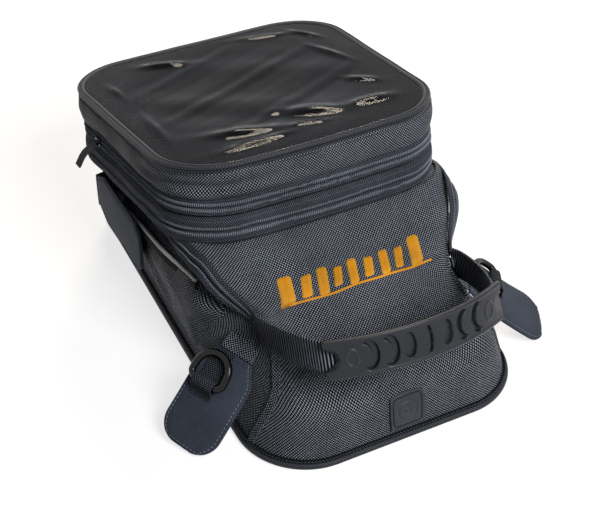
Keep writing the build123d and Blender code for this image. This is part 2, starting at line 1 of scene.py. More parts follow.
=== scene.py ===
"""Visual model of a motorcycle tank bag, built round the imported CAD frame.

Sizes in this file are millimetres in the row frame (origin at the base centre on the
floor, -Y the handle end, +X the right, +Z up). Meshes are written in metres.
"""
import json
import logging
import math
from dataclasses import dataclass
from enum import Enum
from typing import Callable, Sequence

import bmesh
import bpy
import numpy as np
from mathutils import Matrix, Vector


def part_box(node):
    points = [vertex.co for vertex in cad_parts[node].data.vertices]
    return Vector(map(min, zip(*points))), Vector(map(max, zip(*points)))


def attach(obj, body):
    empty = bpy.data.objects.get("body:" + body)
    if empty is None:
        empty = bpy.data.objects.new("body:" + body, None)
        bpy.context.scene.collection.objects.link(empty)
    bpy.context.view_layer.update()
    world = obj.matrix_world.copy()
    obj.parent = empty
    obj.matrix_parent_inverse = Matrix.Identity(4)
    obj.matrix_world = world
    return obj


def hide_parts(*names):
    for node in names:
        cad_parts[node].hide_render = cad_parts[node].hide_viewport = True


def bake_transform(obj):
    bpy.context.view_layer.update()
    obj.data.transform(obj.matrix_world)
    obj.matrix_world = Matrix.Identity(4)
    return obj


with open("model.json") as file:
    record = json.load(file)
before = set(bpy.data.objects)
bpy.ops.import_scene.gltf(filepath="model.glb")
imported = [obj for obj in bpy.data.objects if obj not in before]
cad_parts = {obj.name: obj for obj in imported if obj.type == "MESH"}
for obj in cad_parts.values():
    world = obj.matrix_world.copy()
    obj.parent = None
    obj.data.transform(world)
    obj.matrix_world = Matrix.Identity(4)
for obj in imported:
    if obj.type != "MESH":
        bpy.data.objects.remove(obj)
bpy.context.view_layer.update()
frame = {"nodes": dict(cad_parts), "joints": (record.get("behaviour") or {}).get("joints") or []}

LOG = logging.getLogger("tank_bag")
MM = 0.001
Array = np.ndarray
Obj = bpy.types.Object
Tree = bpy.types.NodeTree
Socket = bpy.types.NodeSocket


# ------------------------------------------------------------------ numbers and curves
def vec(*values: float) -> Array:
    """Return the values as a float array."""
    return np.array(values, float)


def unit(v: Array) -> Array:
    """Return v scaled to length one along its last axis."""
    v = np.asarray(v, float)
    return v / np.maximum(np.linalg.norm(v, axis=-1, keepdims=True), 1e-9)


def ease(x: Array) -> Array:
    """Smooth step from 0 to 1 as x goes from 0 to 1."""
    x = np.clip(x, 0.0, 1.0)
    return x * x * (3 - 2 * x)


def bump(x: Array, centre: float, width: float) -> Array:
    """Bell curve of height one."""
    return np.exp(-(((np.asarray(x) - centre) / width) ** 2))


def ripple(x: Array, seed: int, length: float, terms: int = 4) -> Array:
    """Smooth irregular wave of about unit height.

    Args:
        x: position along the wave, in mm.
        seed: fixed number that picks the wave.
        length: longest wavelength, in mm.
        terms: how many shorter waves are added.

    Returns:
        The wave's value at each x.
    """
    rng = np.random.default_rng(seed)
    total = np.zeros(np.shape(x))
    weight = 0.0
    for k in range(terms):
        wave = length / (1.0 + 0.83 * k)
        gain = 0.72**k
        total = total + gain * np.sin(2 * np.pi * np.asarray(x) / wave + rng.uniform(0, 2 * np.pi))
        weight += gain
    return total / weight * 1.4


SPAN_STEPS = 24  # samples between two control points


def spline(points: Sequence[Sequence[float]], count: int, closed: bool = False) -> Array:
    """Sample a Catmull-Rom curve at even distances.

    Args:
        points: control points that the curve passes through.
        count: number of samples.
        closed: whether the curve returns to its first point.

    Returns:
        An array of count points.
    """
    p = np.asarray(points, float)
    ring = np.vstack([p[-1], p, p[0], p[1]]) if closed else np.vstack([2 * p[0] - p[1], p,
        2 * p[-1] - p[-2]])
    spans = len(ring) - 3
    t = np.linspace(0, 1, SPAN_STEPS, endpoint=False)[:, None]
    dense = []
    for i in range(spans):
        a, b, c, d = ring[i : i + 4]
        dense.append(
            0.5 * (2 * b + (c - a) * t + (2 * a - 5 * b + 4 * c - d) * t**2
            + (3 * b - a - 3 * c + d) * t**3)
        )
    line = np.vstack(dense + [ring[-2][None]])
    run = np.concatenate([[0], np.cumsum(np.linalg.norm(np.diff(line, axis=0), axis=1))])
    at = np.linspace(0, run[-1], count, endpoint=not closed)
    return np.stack([np.interp(at, run, line[:, k]) for k in range(line.shape[1])], -1)


def tangents(path: Array, closed: bool = False) -> Array:
    """Unit tangents of a sampled path."""
    if closed:
        return unit(np.roll(path, -1, 0) - np.roll(path, 1, 0))
    return unit(np.gradient(path, axis=0))


# ------------------------------------------------------------------ the bag's shape
CORNER_STEPS = 12  # chords of each rounded corner of the lid


@dataclass(frozen=True)
class LidFrame:
    """The tilted plane of the lid and the outline that the lid and collar share."""

    tilt: float
    centre_y: float = 84.5
    centre_z: float = 163.6
    half_length: float = 124.5
    half_front: float = 119.5
    half_rear: float = 124.0
    corner: float = 51.0
    bow: float = 7.0

    @property
    def along(self) -> Array:
        """Direction along the lid towards the rear."""
        return vec(0, math.cos(self.tilt), -math.sin(self.tilt))

    @property
    def normal(self) -> Array:
        """Direction square to the lid, upwards."""
        return vec(0, math.sin(self.tilt), math.cos(self.tilt))

    def world(self, x: Array, v: Array, w: Array) -> Array:
        """Row-frame points of lid coordinates: across, along, and above the rim."""
        x, v, w = np.broadcast_arrays(x, v, w)
        origin = vec(0, self.centre_y, self.centre_z)
        return origin + x[..., None] * vec(1, 0, 0) + v[..., None] * self.along + w[...,
            None] * self.normal

    def rim_height(self, y: Array, level: float) -> Array:
        """Height of the plane at a level below the rim, over a given y."""
        return self.centre_z + level / math.cos(self.tilt) - (np.asarray(y)
            - self.centre_y) * math.tan(self.tilt)

    def outline(self, inset: float, count: int) -> Array:
        """Closed outline in lid coordinates, clockwise from the middle of the front edge."""
        r = self.corner - inset
        reach = self.half_length - inset
        front, rear = self.half_front - inset, self.half_rear - inset
        corners = [(0, -reach), (-(front - r), -reach)]
        for (cx, cy), start in (
            ((-(front - r), -reach + r), -90), ((-(rear - r), reach - r), 180),
            ((rear - r, reach - r), 90), ((front - r, -reach + r), 0),
        ):
            for k in range(CORNER_STEPS + 1):
                angle = math.radians(start - 90 * k / CORNER_STEPS)
                corners.append((cx + r * math.cos(angle), cy + r * math.sin(angle)))
        line = np.array(corners + [(0, -reach)])
        dense = []
        for a, b in zip(line[:-1], line[1:]):
            steps = max(2, int(np.linalg.norm(b - a) / 3))
            dense.append(a + (b - a) * np.linspace(0, 1, steps, endpoint=False)[:, None])
        line = np.vstack(dense + [line[:1]])
        line[:, 1] -= self.bow * np.clip(1 - (line[:, 0] / front) ** 2, 0,
            1) * (line[:, 1] < -reach * 0.6)
        run = np.concatenate([[0], np.cumsum(np.linalg.norm(np.diff(line, axis=0), axis=1))])
        at = np.linspace(0, run[-1], count, endpoint=False)
        return np.stack([np.interp(at, run, line[:, k]) for k in range(2)], -1)


LIFT_AXIS = next(j["axis"] for j in frame["joints"] if j["name"] == "collar_lift")
LID = LidFrame(tilt=math.atan2(LIFT_AXIS[1], LIFT_AXIS[2]))
RIM_LEVEL = -67.0  # the tub's rim below the lid plane, square to it


@dataclass(frozen=True)
class TubShape:
    """Outer surface of the tub, as horizontal sections between the base and the rim."""

    base_z: float = 5.0
    rear_y: float = 190.5
    rear_radius: float = 30.0

    def front_y(self, z: Array) -> Array:
        """Y of the front face on the centre line, at each height."""
        knots = [(-189, 5), (-188, 20), (-184, 38), (-175, 55), (-160, 69), (-138, 80), (-98, 99),
            (-50, 120.6), (-20, 134)]
        line = spline(knots, 200)
        return np.interp(z, line[:, 1], line[:, 0])

    def front_z(self, y: Array) -> Array:
        """Height of the front face on the centre line, at each y."""
        z = np.linspace(5, 134, 260)
        return np.interp(y, self.front_y(z), z)

    def half_width(self, y: Array, z: Array) -> Array:
        """Half-width of the side walls at a place and height."""
        snout = 114.5 - 0.30 * (z - 5) - 0.0024 * (z - 5) ** 2
        cheek = 113.5 - 0.031 * np.clip(y + 52, 0, None) * (1 - z / 150) - 0.00105 * np.clip(z
            - 25, 0, None) ** 2
        cheek = cheek - 0.0035 * (y - 60) * bump(z, 110, 30)
        return snout + (cheek - snout) * ease((y + 122) / 78)

    def side_x(self, y: Array, z: Array) -> Array:
        """Half-width of the real surface, with the front corner's rounding taken off."""
        r = self.corner_radius(z)
        centre = self.front_y(z) + r
        ahead = np.clip(centre - y, 0, r * 0.97)
        return self.half_width(np.maximum(y, centre), z) - r + np.sqrt(r * r - ahead * ahead)

    def corner_radius(self, z: Array) -> Array:
        """Radius of the front corners at each height."""
        return 54 - 26 * ease((z - 10) / 80)

    def section(self, side: Array, z: Array) -> tuple[Array, Array]:
        """Half outline at a height: x and y for side values from 0 (front) to 1 (rear)."""
        yf = self.front_y(z)
        r = self.corner_radius(z)
        w_front = self.half_width(yf + r, z)
        w_rear = self.half_width(self.rear_y - self.rear_radius, z)
        cuts = (0.18, 0.32, 0.80, 0.90)
        x, y = np.zeros(np.shape(side)), np.zeros(np.shape(side))
        t = np.clip(side / cuts[0], 0, 1)
        x = np.where(side <= cuts[0], t * (w_front - r), x)
        y = np.where(side <= cuts[0], yf, y)
        a = np.clip((side - cuts[0]) / (cuts[1] - cuts[0]), 0, 1) * np.pi / 2
        arc = (side > cuts[0]) & (side <= cuts[1])
        x = np.where(arc, w_front - r + r * np.sin(a), x)
        y = np.where(arc, yf + r - r * np.cos(a), y)
        t = np.clip((side - cuts[1]) / (cuts[2] - cuts[1]), 0, 1)
        y_side = yf + r + t * (self.rear_y - self.rear_radius - yf - r)
        wall = (side > cuts[1]) & (side <= cuts[2])
        x = np.where(wall, self.half_width(y_side, z), x)
        y = np.where(wall, y_side, y)
        a = np.clip((side - cuts[2]) / (cuts[3] - cuts[2]), 0, 1) * np.pi / 2
        rr = self.rear_radius
        arc = (side > cuts[2]) & (side <= cuts[3])
        x = np.where(arc, w_rear - rr + rr * np.cos(a), x)
        y = np.where(arc, self.rear_y - rr + rr * np.sin(a), y)
        t = np.clip((side - cuts[3]) / (1 - cuts[3]), 0, 1)
        x = np.where(side > cuts[3], (w_rear - rr) * (1 - t), x)
        y = np.where(side > cuts[3], self.rear_y, y)
        return x, y

    def point(self, side: Array, height: Array, sign: float = 1.0) -> Array:
        """Point of the wall: side 0 to 1 round one half, height 0 at the base to 1 at the rim."""
        side, height = np.broadcast_arrays(np.asarray(side, float), np.asarray(height, float))
        _, y_top = self.section(side, np.full(side.shape, 112.0))
        top = LID.rim_height(np.clip(y_top, -50, None), RIM_LEVEL)
        z = self.base_z + height * (top - self.base_z)
        x, y = self.section(side, z)
        return np.stack([sign * x, y, z], -1) + self.relief(sign * x, y, z)

    def relief(self, x: Array, y: Array, z: Array) -> Array:
        """Soft dents and swells of the fabric, as an offset."""
        dents = -10.5 * bump(z, 62, 13) * (bump(x, -58, 24) + bump(x, 60, 24)) * ease((-120 - y)
            / 20)
        dents = dents - 9.0 * bump(z, 91, 8) * (bump(x, -60, 16) + bump(x, 62, 16)) * ease(
            (-104 - y) / 12)
        swell = 3.0 * bump(z, 70, 22) * bump(x, 0, 34) * ease((-120 - y) / 20)
        brow = -3.0 * bump(y, -78, 16) * bump(x, 12, 60) + 1.6 * bump(y, -112, 14) * bump(x, -10,
            70)
        folds = 1.1 * ripple(x * 0.8 + z * 1.1 + y * 0.4, 7, 95)
        rise = ease((z - 12) / 30)
        front = ease((-40 - y) / 20)
        side_fold = 1.6 * ripple(y * 0.9 - z * 1.3, 11, 120) * rise * ease((y + 110) / 40) * (
            z < 116)
        puff = bump(y, -28, 34) * bump(z, 116, 20) * ease((np.abs(x) - 84) / 14)
        out = np.zeros(np.shape(x) + (3,))
        out[..., 0] += np.sign(x) * puff * np.where(x > 0, 13.0, 5.0)
        out[..., 1] -= (dents + swell) * rise
        out[..., 2] += ((dents + swell) * 0.4 + (brow + folds) * front) * rise * (1
            - ease((z - 112) / 10))
        out[..., 0] += np.sign(x) * side_fold * ease((np.abs(x) - 80) / 20)
        return out

    def front_point(self, x: Array, z: Array, lift: float = 0.0) -> Array:
        """Point on the front face over x and z, raised off it by lift."""
        x, z = np.broadcast_arrays(np.asarray(x, float), np.asarray(z, float))

        def at(px: Array, pz: Array) -> Array:
            r = self.corner_radius(pz)
            yf = self.front_y(pz)
            flat = self.half_width(yf + r, pz) - r
            over = np.clip(np.abs(px) - flat, 0, r * 0.98)
            p = np.stack([px, yf + r - np.sqrt(r * r - over * over), pz], -1)
            return p + self.relief(p[..., 0], p[..., 1], p[..., 2])

        here = at(x, z)
        across = at(x + 0.5, z) - at(x - 0.5, z)
        up = at(x, z + 0.5) - at(x, z - 0.5)
        return here + lift * unit(np.cross(across, up))


TUB = TubShape()


# ------------------------------------------------------------------ mesh building
def new_object(name: str, verts: Array, faces: list, uvs: Array | None = None) -> Obj:
    """Make a smooth-shaded mesh object in metres.

    Args:
        name: object name.
        verts: points in mm.
        faces: vertex indices of each face.
        uvs: one pair per face corner, in mm.

    Returns:
        The linked object.
    """
    mesh = bpy.data.meshes.new(name)
    mesh.from_pydata((np.asarray(verts) * MM).tolist(), [], faces)
    if uvs is not None:
        layer = mesh.uv_layers.new(name="UVMap")
        layer.data.foreach_set("uv", (np.asarray(uvs, float) * MM).ravel())
    mesh.shade_smooth()
    obj = bpy.data.objects.new(name, mesh)
    bpy.context.scene.collection.objects.link(obj)
    return obj


def sheet_mesh(
    name: str, grid: Array, closed_u: bool = False, closed_v: bool = False,
    uv: Array | None = None, flip: bool = False,
) -> Obj:
    """Make a quad surface from a grid of points.

    Args:
        name: object name.
        grid: points as rows by columns by 3, in mm.
        closed_u: join the last column to the first.
        closed_v: join the last row to the first.
        uv: texture position of each grid point, in mm; arc lengths if left out.
        flip: turn the faces over.

    Returns:
        The object.
    """
    rows, cols = grid.shape[:2]
    if uv is None:
        du = np.linalg.norm(np.diff(grid, axis=1), axis=2).mean(0)
        dv = np.linalg.norm(np.diff(grid, axis=0), axis=2).mean(1)
        step_u = float(du.mean()) if cols > 1 else 1.0
        uu = np.concatenate([[0], np.cumsum(du)])
        vv = np.concatenate([[0], np.cumsum(dv)])
        uv = np.stack(np.meshgrid(uu, vv), -1)
        wrap_u = uu[-1] + step_u
        wrap_v = vv[-1] + (float(dv.mean()) if rows > 1 else 1.0)
    else:
        wrap_u = wrap_v = 0.0
    faces, corners = [], []
    for j in range(rows if closed_v else rows - 1):
        for i in range(cols if closed_u else cols - 1):
            quad = []
            for jj, ii in ((j, i), (j, i + 1), (j + 1, i + 1), (j + 1, i)):
                spot = uv[jj % rows, ii % cols].copy()
                if ii >= cols:
                    spot[0] += wrap_u
                if jj >= rows:
                    spot[1] += wrap_v
                quad.append((jj % rows * cols + ii % cols, spot))
            if flip:
                quad = quad[::-1]
            faces.append([q[0] for q in quad])
            corners.extend(q[1] for q in quad)
    return new_object(name, grid.reshape(-1, 3), faces, np.array(corners))


def apply_modifiers(obj: Obj) -> Obj:
    """Replace an object's mesh with its evaluated mesh and drop its modifiers."""
    graph = bpy.context.evaluated_depsgraph_get()
    mesh = bpy.data.meshes.new_from_object(obj.evaluated_get(graph), depsgraph=graph)
    mesh.name = obj.name
    if obj.type != "MESH":
        made = bpy.data.objects.new(obj.name + "_mesh", mesh)
        bpy.context.scene.collection.objects.link(made)
        bpy.data.objects.remove(obj)
        return made
    obj.modifiers.clear()
    obj.data = mesh
    return obj


def thicken(obj: Obj, mm: float) -> Obj:
    """Give a sheet a thickness, inwards."""
    mod = obj.modifiers.new("thick", "SOLIDIFY")
    mod.thickness = mm * MM
    mod.offset = -1.0
    mod.use_even_offset = False
    return apply_modifiers(obj)


def sweep(name: str, path: Array, section: Array, normal: Array, closed: bool = False) -> Obj:
    """Sweep a closed section along a path.

    Args:
        name: object name.
        path: points in mm.
        section: closed loop of (across, out) pairs in mm.
        normal: the out direction, one for all points or one each.
        closed: whether the path is a loop.

    Returns:
        The object.
    """
    tangent = tangents(path, closed)
    out = np.broadcast_to(np.asarray(normal, float), path.shape)
    out = unit(out - tangent * np.sum(out * tangent, -1, keepdims=True))
    across = np.cross(out, tangent)
    grid = path[:, None] + section[None, :, :1] * across[:, None] + section[None, :, 1:] * out[:,
        None]
    obj = sheet_mesh(name, grid, closed_u=True, closed_v=closed, flip=True)
    if not closed:
        cap_ends(obj, len(path), section.shape[0])
    return obj


def cap_ends(obj: Obj, rows: int, cols: int) -> None:
    """Close the two ends of a swept tube."""
    mesh = bmesh.new()
    mesh.from_mesh(obj.data)
    mesh.verts.ensure_lookup_table()
    for row in (0, rows - 1):
        ends = [mesh.verts[row * cols + i] for i in range(cols)]
        mesh.faces.new(ends if row == 0 else ends[::-1])
    bmesh.ops.recalc_face_normals(mesh, faces=mesh.faces)
    mesh.to_mesh(obj.data)
    mesh.free()


def round_section(radius: float, count: int = 12) -> Array:
    """Circle section."""
    a = np.linspace(0, 2 * np.pi, count, endpoint=False)
    return np.stack([radius * np.cos(a), radius * np.sin(a)], -1)


def slab_section(width: float, thick: float, count: int = 28, power: float = 0.28) -> Array:
    """Flat section with rounded edges."""
    a = np.linspace(0, 2 * np.pi, count, endpoint=False)
    c, s = np.cos(a), np.sin(a)
    return np.stack(
        [width / 2 * np.sign(c) * np.abs(c) ** power,
        thick / 2 * np.sign(s) * np.abs(s) ** (power * 1.5)], -1
    )


def join(objects: list[Obj], name: str) -> Obj:
    """Join mesh objects into one."""
    with bpy.context.temp_override(
        active_object=objects[0], object=objects[0], selected_objects=objects,
        selected_editable_objects=objects
    ):
        bpy.ops.object.join()
    objects[0].name = name
    return objects[0]


# ------------------------------------------------------------------ nodes
def linear(hex_code: str) -> tuple[float, float, float, float]:
    """Turn an sRGB hex colour into the linear values that a node takes."""
    channels = [int(hex_code[i : i + 2], 16) / 255 for i in (1, 3, 5)]
    r, g, b = (c / 12.92 if c <= 0.04045 else ((c + 0.055) / 1.055) ** 2.4 for c in channels)
    return r, g, b, 1.0


def add_node(tree: Tree, kind: str, inputs: dict | None = None,
        **settings: object) -> bpy.types.Node:
    """Add a node with its settings and links.

    Args:
        tree: the node tree.
        kind: the node's type name.
        inputs: value or output socket for each input name or index.
        settings: attributes of the node.

    Returns:
        The node.
    """
    node = tree.nodes.new(kind)
    for key, value in settings.items():
        setattr(node, key, value)
    for key, value in (inputs or {}).items():
        if isinstance(value, Socket):
            tree.links.new(value, node.inputs[key])
        else:
            node.inputs[key].default_value = value
    return node


class Pattern(Enum):
    """How a surface's small relief is made."""

    WEAVE = "basket weave"
    TAPE = "fine woven tape"
    RIB = "ribbed webbing"
    GRAIN = "pebbled grain"
    THREAD = "satin thread"
    PLAIN = "moulded"


@dataclass(frozen=True)
class Finish:
    """A procedural finish.

    Args:
        name: name of the real material.
        light: colour of the raised threads or high grain; on cloth and webbing it holds a painted
            highlight on the thread tops.
        dark: colour between the threads; on cloth and webbing it holds painted shade in the gaps.
        pattern: kind of small relief.
        pitch: distance between threads, in mm.
        relief: depth of the relief, in mm.
        roughness: surface roughness.
        metallic: one for bare metal.
        sheen: strength of the fibre sheen.
        ior: index of refraction, low for cloth, which mirrors little.
        from_object: read the pattern from Y and Z of the piece, for meshes with no UV map.
    """

    name: str
    light: str
    dark: str
    pattern: Pattern
    pitch: float
    relief: float
    roughness: float
    metallic: float = 0.0
    sheen: float = 0.0
    ior: float = 1.13
    from_object: bool = False

    def build(self) -> bpy.types.Material:
        """Make the material's node tree."""
        mat = bpy.data.materials.new(self.name)
        mat.use_nodes = True
        tree = mat.node_tree
        tree.nodes.clear()
        height, cloud = self.height(tree)
        # the relief height mixes dark into light: painted highlight on the thread tops, painted shade
        # in the hollows
        shade = add_node(tree, "ShaderNodeMix", {
            "Factor": height, "A": linear(self.dark), "B": linear(self.light)}, data_type="RGBA")
        worn = add_node(tree, "ShaderNodeMapRange", {
            "Value": cloud, "From Min": 0.3, "From Max": 0.7, "To Min": 0.78, "To Max": 1.18})
        tinted = add_node(tree, "ShaderNodeVectorMath", {0: shade.outputs["Result"]},
            operation="SCALE")
        tree.links.new(worn.outputs["Result"], tinted.inputs["Scale"])
        rough = add_node(tree, "ShaderNodeMapRange", {
            "Value": cloud, "To Min": self.roughness - 0.06, "To Max": self.roughness + 0.06})
        bump_node = add_node(tree, "ShaderNodeBump", {
            "Height": height, "Strength": 0.8, "Distance": self.relief * MM})
        shader = add_node(tree, "ShaderNodeBsdfPrincipled", {
            "Base Color": tinted.outputs[0], "Roughness": rough.outputs["Result"],
            "Normal": bump_node.outputs["Normal"], "Metallic": self.metallic, "IOR": self.ior,
            "Sheen Weight": self.sheen})
        out = add_node(tree, "ShaderNodeOutputMaterial")
        tree.links.new(shader.outputs["BSDF"], out.inputs["Surface"])
        return mat

    def height(self, tree: Tree) -> tuple[Socket, Socket]:
        """Height of the small relief, and a soft cloud for wear, both from 0 to 1."""
        place = add_node(tree, "ShaderNodeTexCoord")
        cloud = add_node(tree, "ShaderNodeTexNoise", {
            "Vector": place.outputs["Object"], "Scale": 28.0, "Detail": 4.0, "Roughness": 0.6})
        if self.pattern in (Pattern.GRAIN, Pattern.PLAIN):
            grain = add_node(tree, "ShaderNodeTexVoronoi" if self.pattern is Pattern.GRAIN
                else "ShaderNodeTexNoise", {
                "Vector": place.outputs["Object"], "Scale": 1000.0 / self.pitch})
            return grain.outputs[0], cloud.outputs[0]
        if self.from_object:
            split = add_node(tree, "ShaderNodeSeparateXYZ", {0: place.outputs["Object"]})
            u, v = split.outputs["Y"], split.outputs["Z"]
        else:
            split = add_node(tree, "ShaderNodeSeparateXYZ", {0: place.outputs["UV"]})
            u, v = split.outputs["X"], split.outputs["Y"]
        waves = []
        ratio = {Pattern.WEAVE: (1.0, 1.0), Pattern.TAPE: (1.0, 0.8), Pattern.RIB: (0.0, 1.0),
            Pattern.THREAD: (0.05, 1.0)}
        for axis, share in zip((u, v), ratio[self.pattern]):
            if not share:
                continue
            turn = add_node(tree, "ShaderNodeMath",
                {0: axis, 1: math.pi / (self.pitch * MM) * share}, operation="MULTIPLY")
            waves.append(add_node(tree, "ShaderNodeMath", {0: turn.outputs[0]},
                operation="SINE").outputs[0])
        product = add_node(tree, "ShaderNodeMath", {0: waves[0], 1: waves[1] if len(waves) > 1
            else 1.0}, operation="MULTIPLY")
        fine = add_node(tree, "ShaderNodeTexNoise",
            {"Vector": place.outputs["Object"], "Scale": 900.0})
        mixed = add_node(tree, "ShaderNodeMath",
            {0: fine.outputs[0], 1: 0.7, 2: product.outputs[0]}, operation="MULTIPLY_ADD")
        level = add_node(tree, "ShaderNodeMapRange", {
            "Value": mixed.outputs[0], "From Min": 0.2, "From Max": 1.2},
            interpolation_type="SMOOTHSTEP")
        return level.outputs["Result"], cloud.outputs[0]


@dataclass(frozen=True)
class ClearVinyl:
    """Soft clear PVC sheet: glossy, faintly tinted and see-through, with smeared dull patches."""

    name: str = "clear soft PVC film"

    def build(self) -> bpy.types.Material:
        """Make the material's node tree."""
        mat = bpy.data.materials.new(self.name)
        mat.use_nodes = True
        tree = mat.node_tree
        tree.nodes.clear()
        place = add_node(tree, "ShaderNodeTexCoord")
        smear = add_node(tree, "ShaderNodeTexNoise", {
            "Vector": place.outputs["Object"], "Scale": 22.0, "Detail": 5.0, "Distortion": 1.2})
        rough = add_node(tree, "ShaderNodeMapRange", {
            "Value": smear.outputs[0], "From Min": 0.48, "From Max": 0.7, "To Min": 0.015,
            "To Max": 0.2})
        waves = add_node(tree, "ShaderNodeTexNoise", {
            "Vector": place.outputs["Object"], "Scale": 30.0, "Detail": 2.0, "Distortion": 0.8})
        ripple_bump = add_node(tree, "ShaderNodeBump",
            {"Height": waves.outputs[0], "Strength": 0.09, "Distance": 0.002})
        shader = add_node(tree, "ShaderNodeBsdfPrincipled", {
            "Base Color": linear("#868b94"), "Roughness": rough.outputs["Result"],
            "Transmission Weight": 1.0,
            "IOR": 1.11, "Normal": ripple_bump.outputs["Normal"]})
        out = add_node(tree, "ShaderNodeOutputMaterial")
        tree.links.new(shader.outputs["BSDF"], out.inputs["Surface"])
        return mat


class Slot(Enum):
    """Finish of each of the record's material slots."""

    # 1680-denier nylon in a basket weave: thread crowns in a near-white painted highlight over
    # near-black gaps of painted shade
    ballistic_nylon = Finish("ballistic nylon, basket weave", "#c4ccda", "#060709", Pattern.WEAVE,
        1.25, 0.6, 0.45)
    # zip tape: much finer and a shade greyer than the cloth
    zip_tape = Finish("woven polyester zip tape", "#848b99", "#16171c", Pattern.TAPE, 0.9, 0.3,
        0.55)
    # light lining and binding cloth, almost black
    plain_nylon = Finish("plain-weave nylon", "#26282d", "#0c0d10", Pattern.TAPE, 1.0, 0.2, 0.7,
        sheen=0.1)
    # bound piping in slate cloth with a slight shine
    piping = Finish("woven binding over cord", "#474c58", "#1c1e24", Pattern.TAPE, 1.2, 0.3, 0.45,
        ior=1.35)
    # stiffener board in moulded polyethylene
    board = Finish("moulded polyethylene", "#202227", "#17181b", Pattern.PLAIN, 3.0, 0.1, 0.5)
    # injection-moulded soft rubber badge, satin
    patch_rubber = Finish("moulded rubber badge", "#4e525c", "#42464e", Pattern.PLAIN, 1.5, 0.08,
        0.45, ior=1.3)
    # glossy rayon thread laid side by side
    orange_thread = Finish("rayon embroidery thread", "#ffca50", "#ffa51a", Pattern.THREAD, 0.5,
        0.12, 0.5, ior=1.3)
    # silver reflective film over cord: smooth and pale, its base colour raised to pure white as a
    # painted highlight
    reflective = Finish("silver reflective film", "#ffffff", "#d8dce4", Pattern.PLAIN, 1.0, 0.05,
        0.3, ior=1.5)
    # polyester webbing with heavy cross ribs: pale painted highlight on the ribs, painted shade
    # between them
    webbing = Finish("polyester webbing", "#a8b0be", "#08090b", Pattern.RIB, 1.4, 0.6, 0.5)
    # moulded thermoplastic rubber, satin with a soft highlight
    grip_rubber = Finish("moulded thermoplastic rubber", "#30333a", "#25272d", Pattern.PLAIN, 1.2,
        0.06, 0.36, ior=1.38)
    clear_vinyl = ClearVinyl()
    # short-pile fleece lining, no shine
    fleece = Finish("short-pile fleece", "#272a2f", "#1a1c20", Pattern.GRAIN, 1.4, 0.5, 0.95,
        ior=1.1)
    # coated leather-look cloth with a very fine pebble
    leatherette = Finish("pebbled polyurethane leatherette", "#545b69", "#3e4451", Pattern.GRAIN,
        0.7, 0.12, 0.5)
    flap_lining = Finish("suede-touch microfibre", "#23262c", "#15171b", Pattern.GRAIN, 0.8, 0.1,
        0.9)
    magnet = Finish("nickel-plated magnet", "#9a9ca0", "#85878b", Pattern.PLAIN, 2.0, 0.02, 0.3,
        metallic=1.0)
    # moulded acetal ring: black and glossy
    gloss_plastic = Finish("moulded acetal", "#08080a", "#060607", Pattern.PLAIN, 4.0, 0.02, 0.1,
        ior=1.36)
    slider_metal = Finish("black-lacquered zinc", "#2c2e33", "#1c1d20", Pattern.PLAIN, 2.0, 0.05,
        0.35, metallic=0.6)
    puller_rubber = Finish("moulded rubber puller", "#1c1e22", "#141518", Pattern.PLAIN, 1.5,
        0.06, 0.5)


class Paints:
    """Materials, made once each and given to pieces."""

    def __init__(self) -> None:
        """Start with none made."""
        self.made: dict[str, bpy.types.Material] = {}

    def get(self, slot_name: str, key: str = "",
            finish: Finish | None = None) -> bpy.types.Material:
        """The material of a slot, or a variant of it kept under its own key."""
        label = key or slot_name
        if label not in self.made:
            self.made[label] = (finish or Slot[slot_name].value).build()
        return self.made[label]

    def dress(self, obj: Obj, slot_name: str, key: str = "", finish: Finish | None = None) -> None:
        """Give an object the one material of a slot, or of a variant kept under its own key."""
        obj.data.materials.clear()
        obj.data.materials.append(self.get(slot_name, key, finish))


PAINTS = Paints()
STITCH_THREAD = Finish("bonded polyester thread", "#b4bbc9", "#848b99", Pattern.PLAIN, 0.5, 0.02,
    0.5)
DARK_THREAD = Finish("dark bonded thread", "#747b89", "#4c505a", Pattern.PLAIN, 0.5, 0.02, 0.55)
# same basket weave on formed pieces: painted highlight on the thread crowns, painted shade in the
# gaps
SEAMED_CLOTH = Finish(
    "ballistic nylon on formed pieces", "#c4ccda", "#060709", Pattern.WEAVE, 1.25, 0.6, 0.45,
    from_object=True)


class Lay(Enum):
    """Which way a repeated thread lies on its row."""

    ALONG = "Z"
    ACROSS = "X"


def place_piece(obj: Obj, body: str, slot_name: str, nodes: Sequence[str] = (),
        **paint: object) -> Obj:
    """Finish a piece: its material, the body that it rides on and the nodes that it stands for."""
    PAINTS.dress(obj, slot_name, **paint)
    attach(obj, body)
    if nodes:
        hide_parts(*nodes)
    LOG.info("piece %s on %s: %d faces", obj.name, body, len(obj.data.polygons))
    return obj


DASH_SIDES = 6  # sides of one thread dash


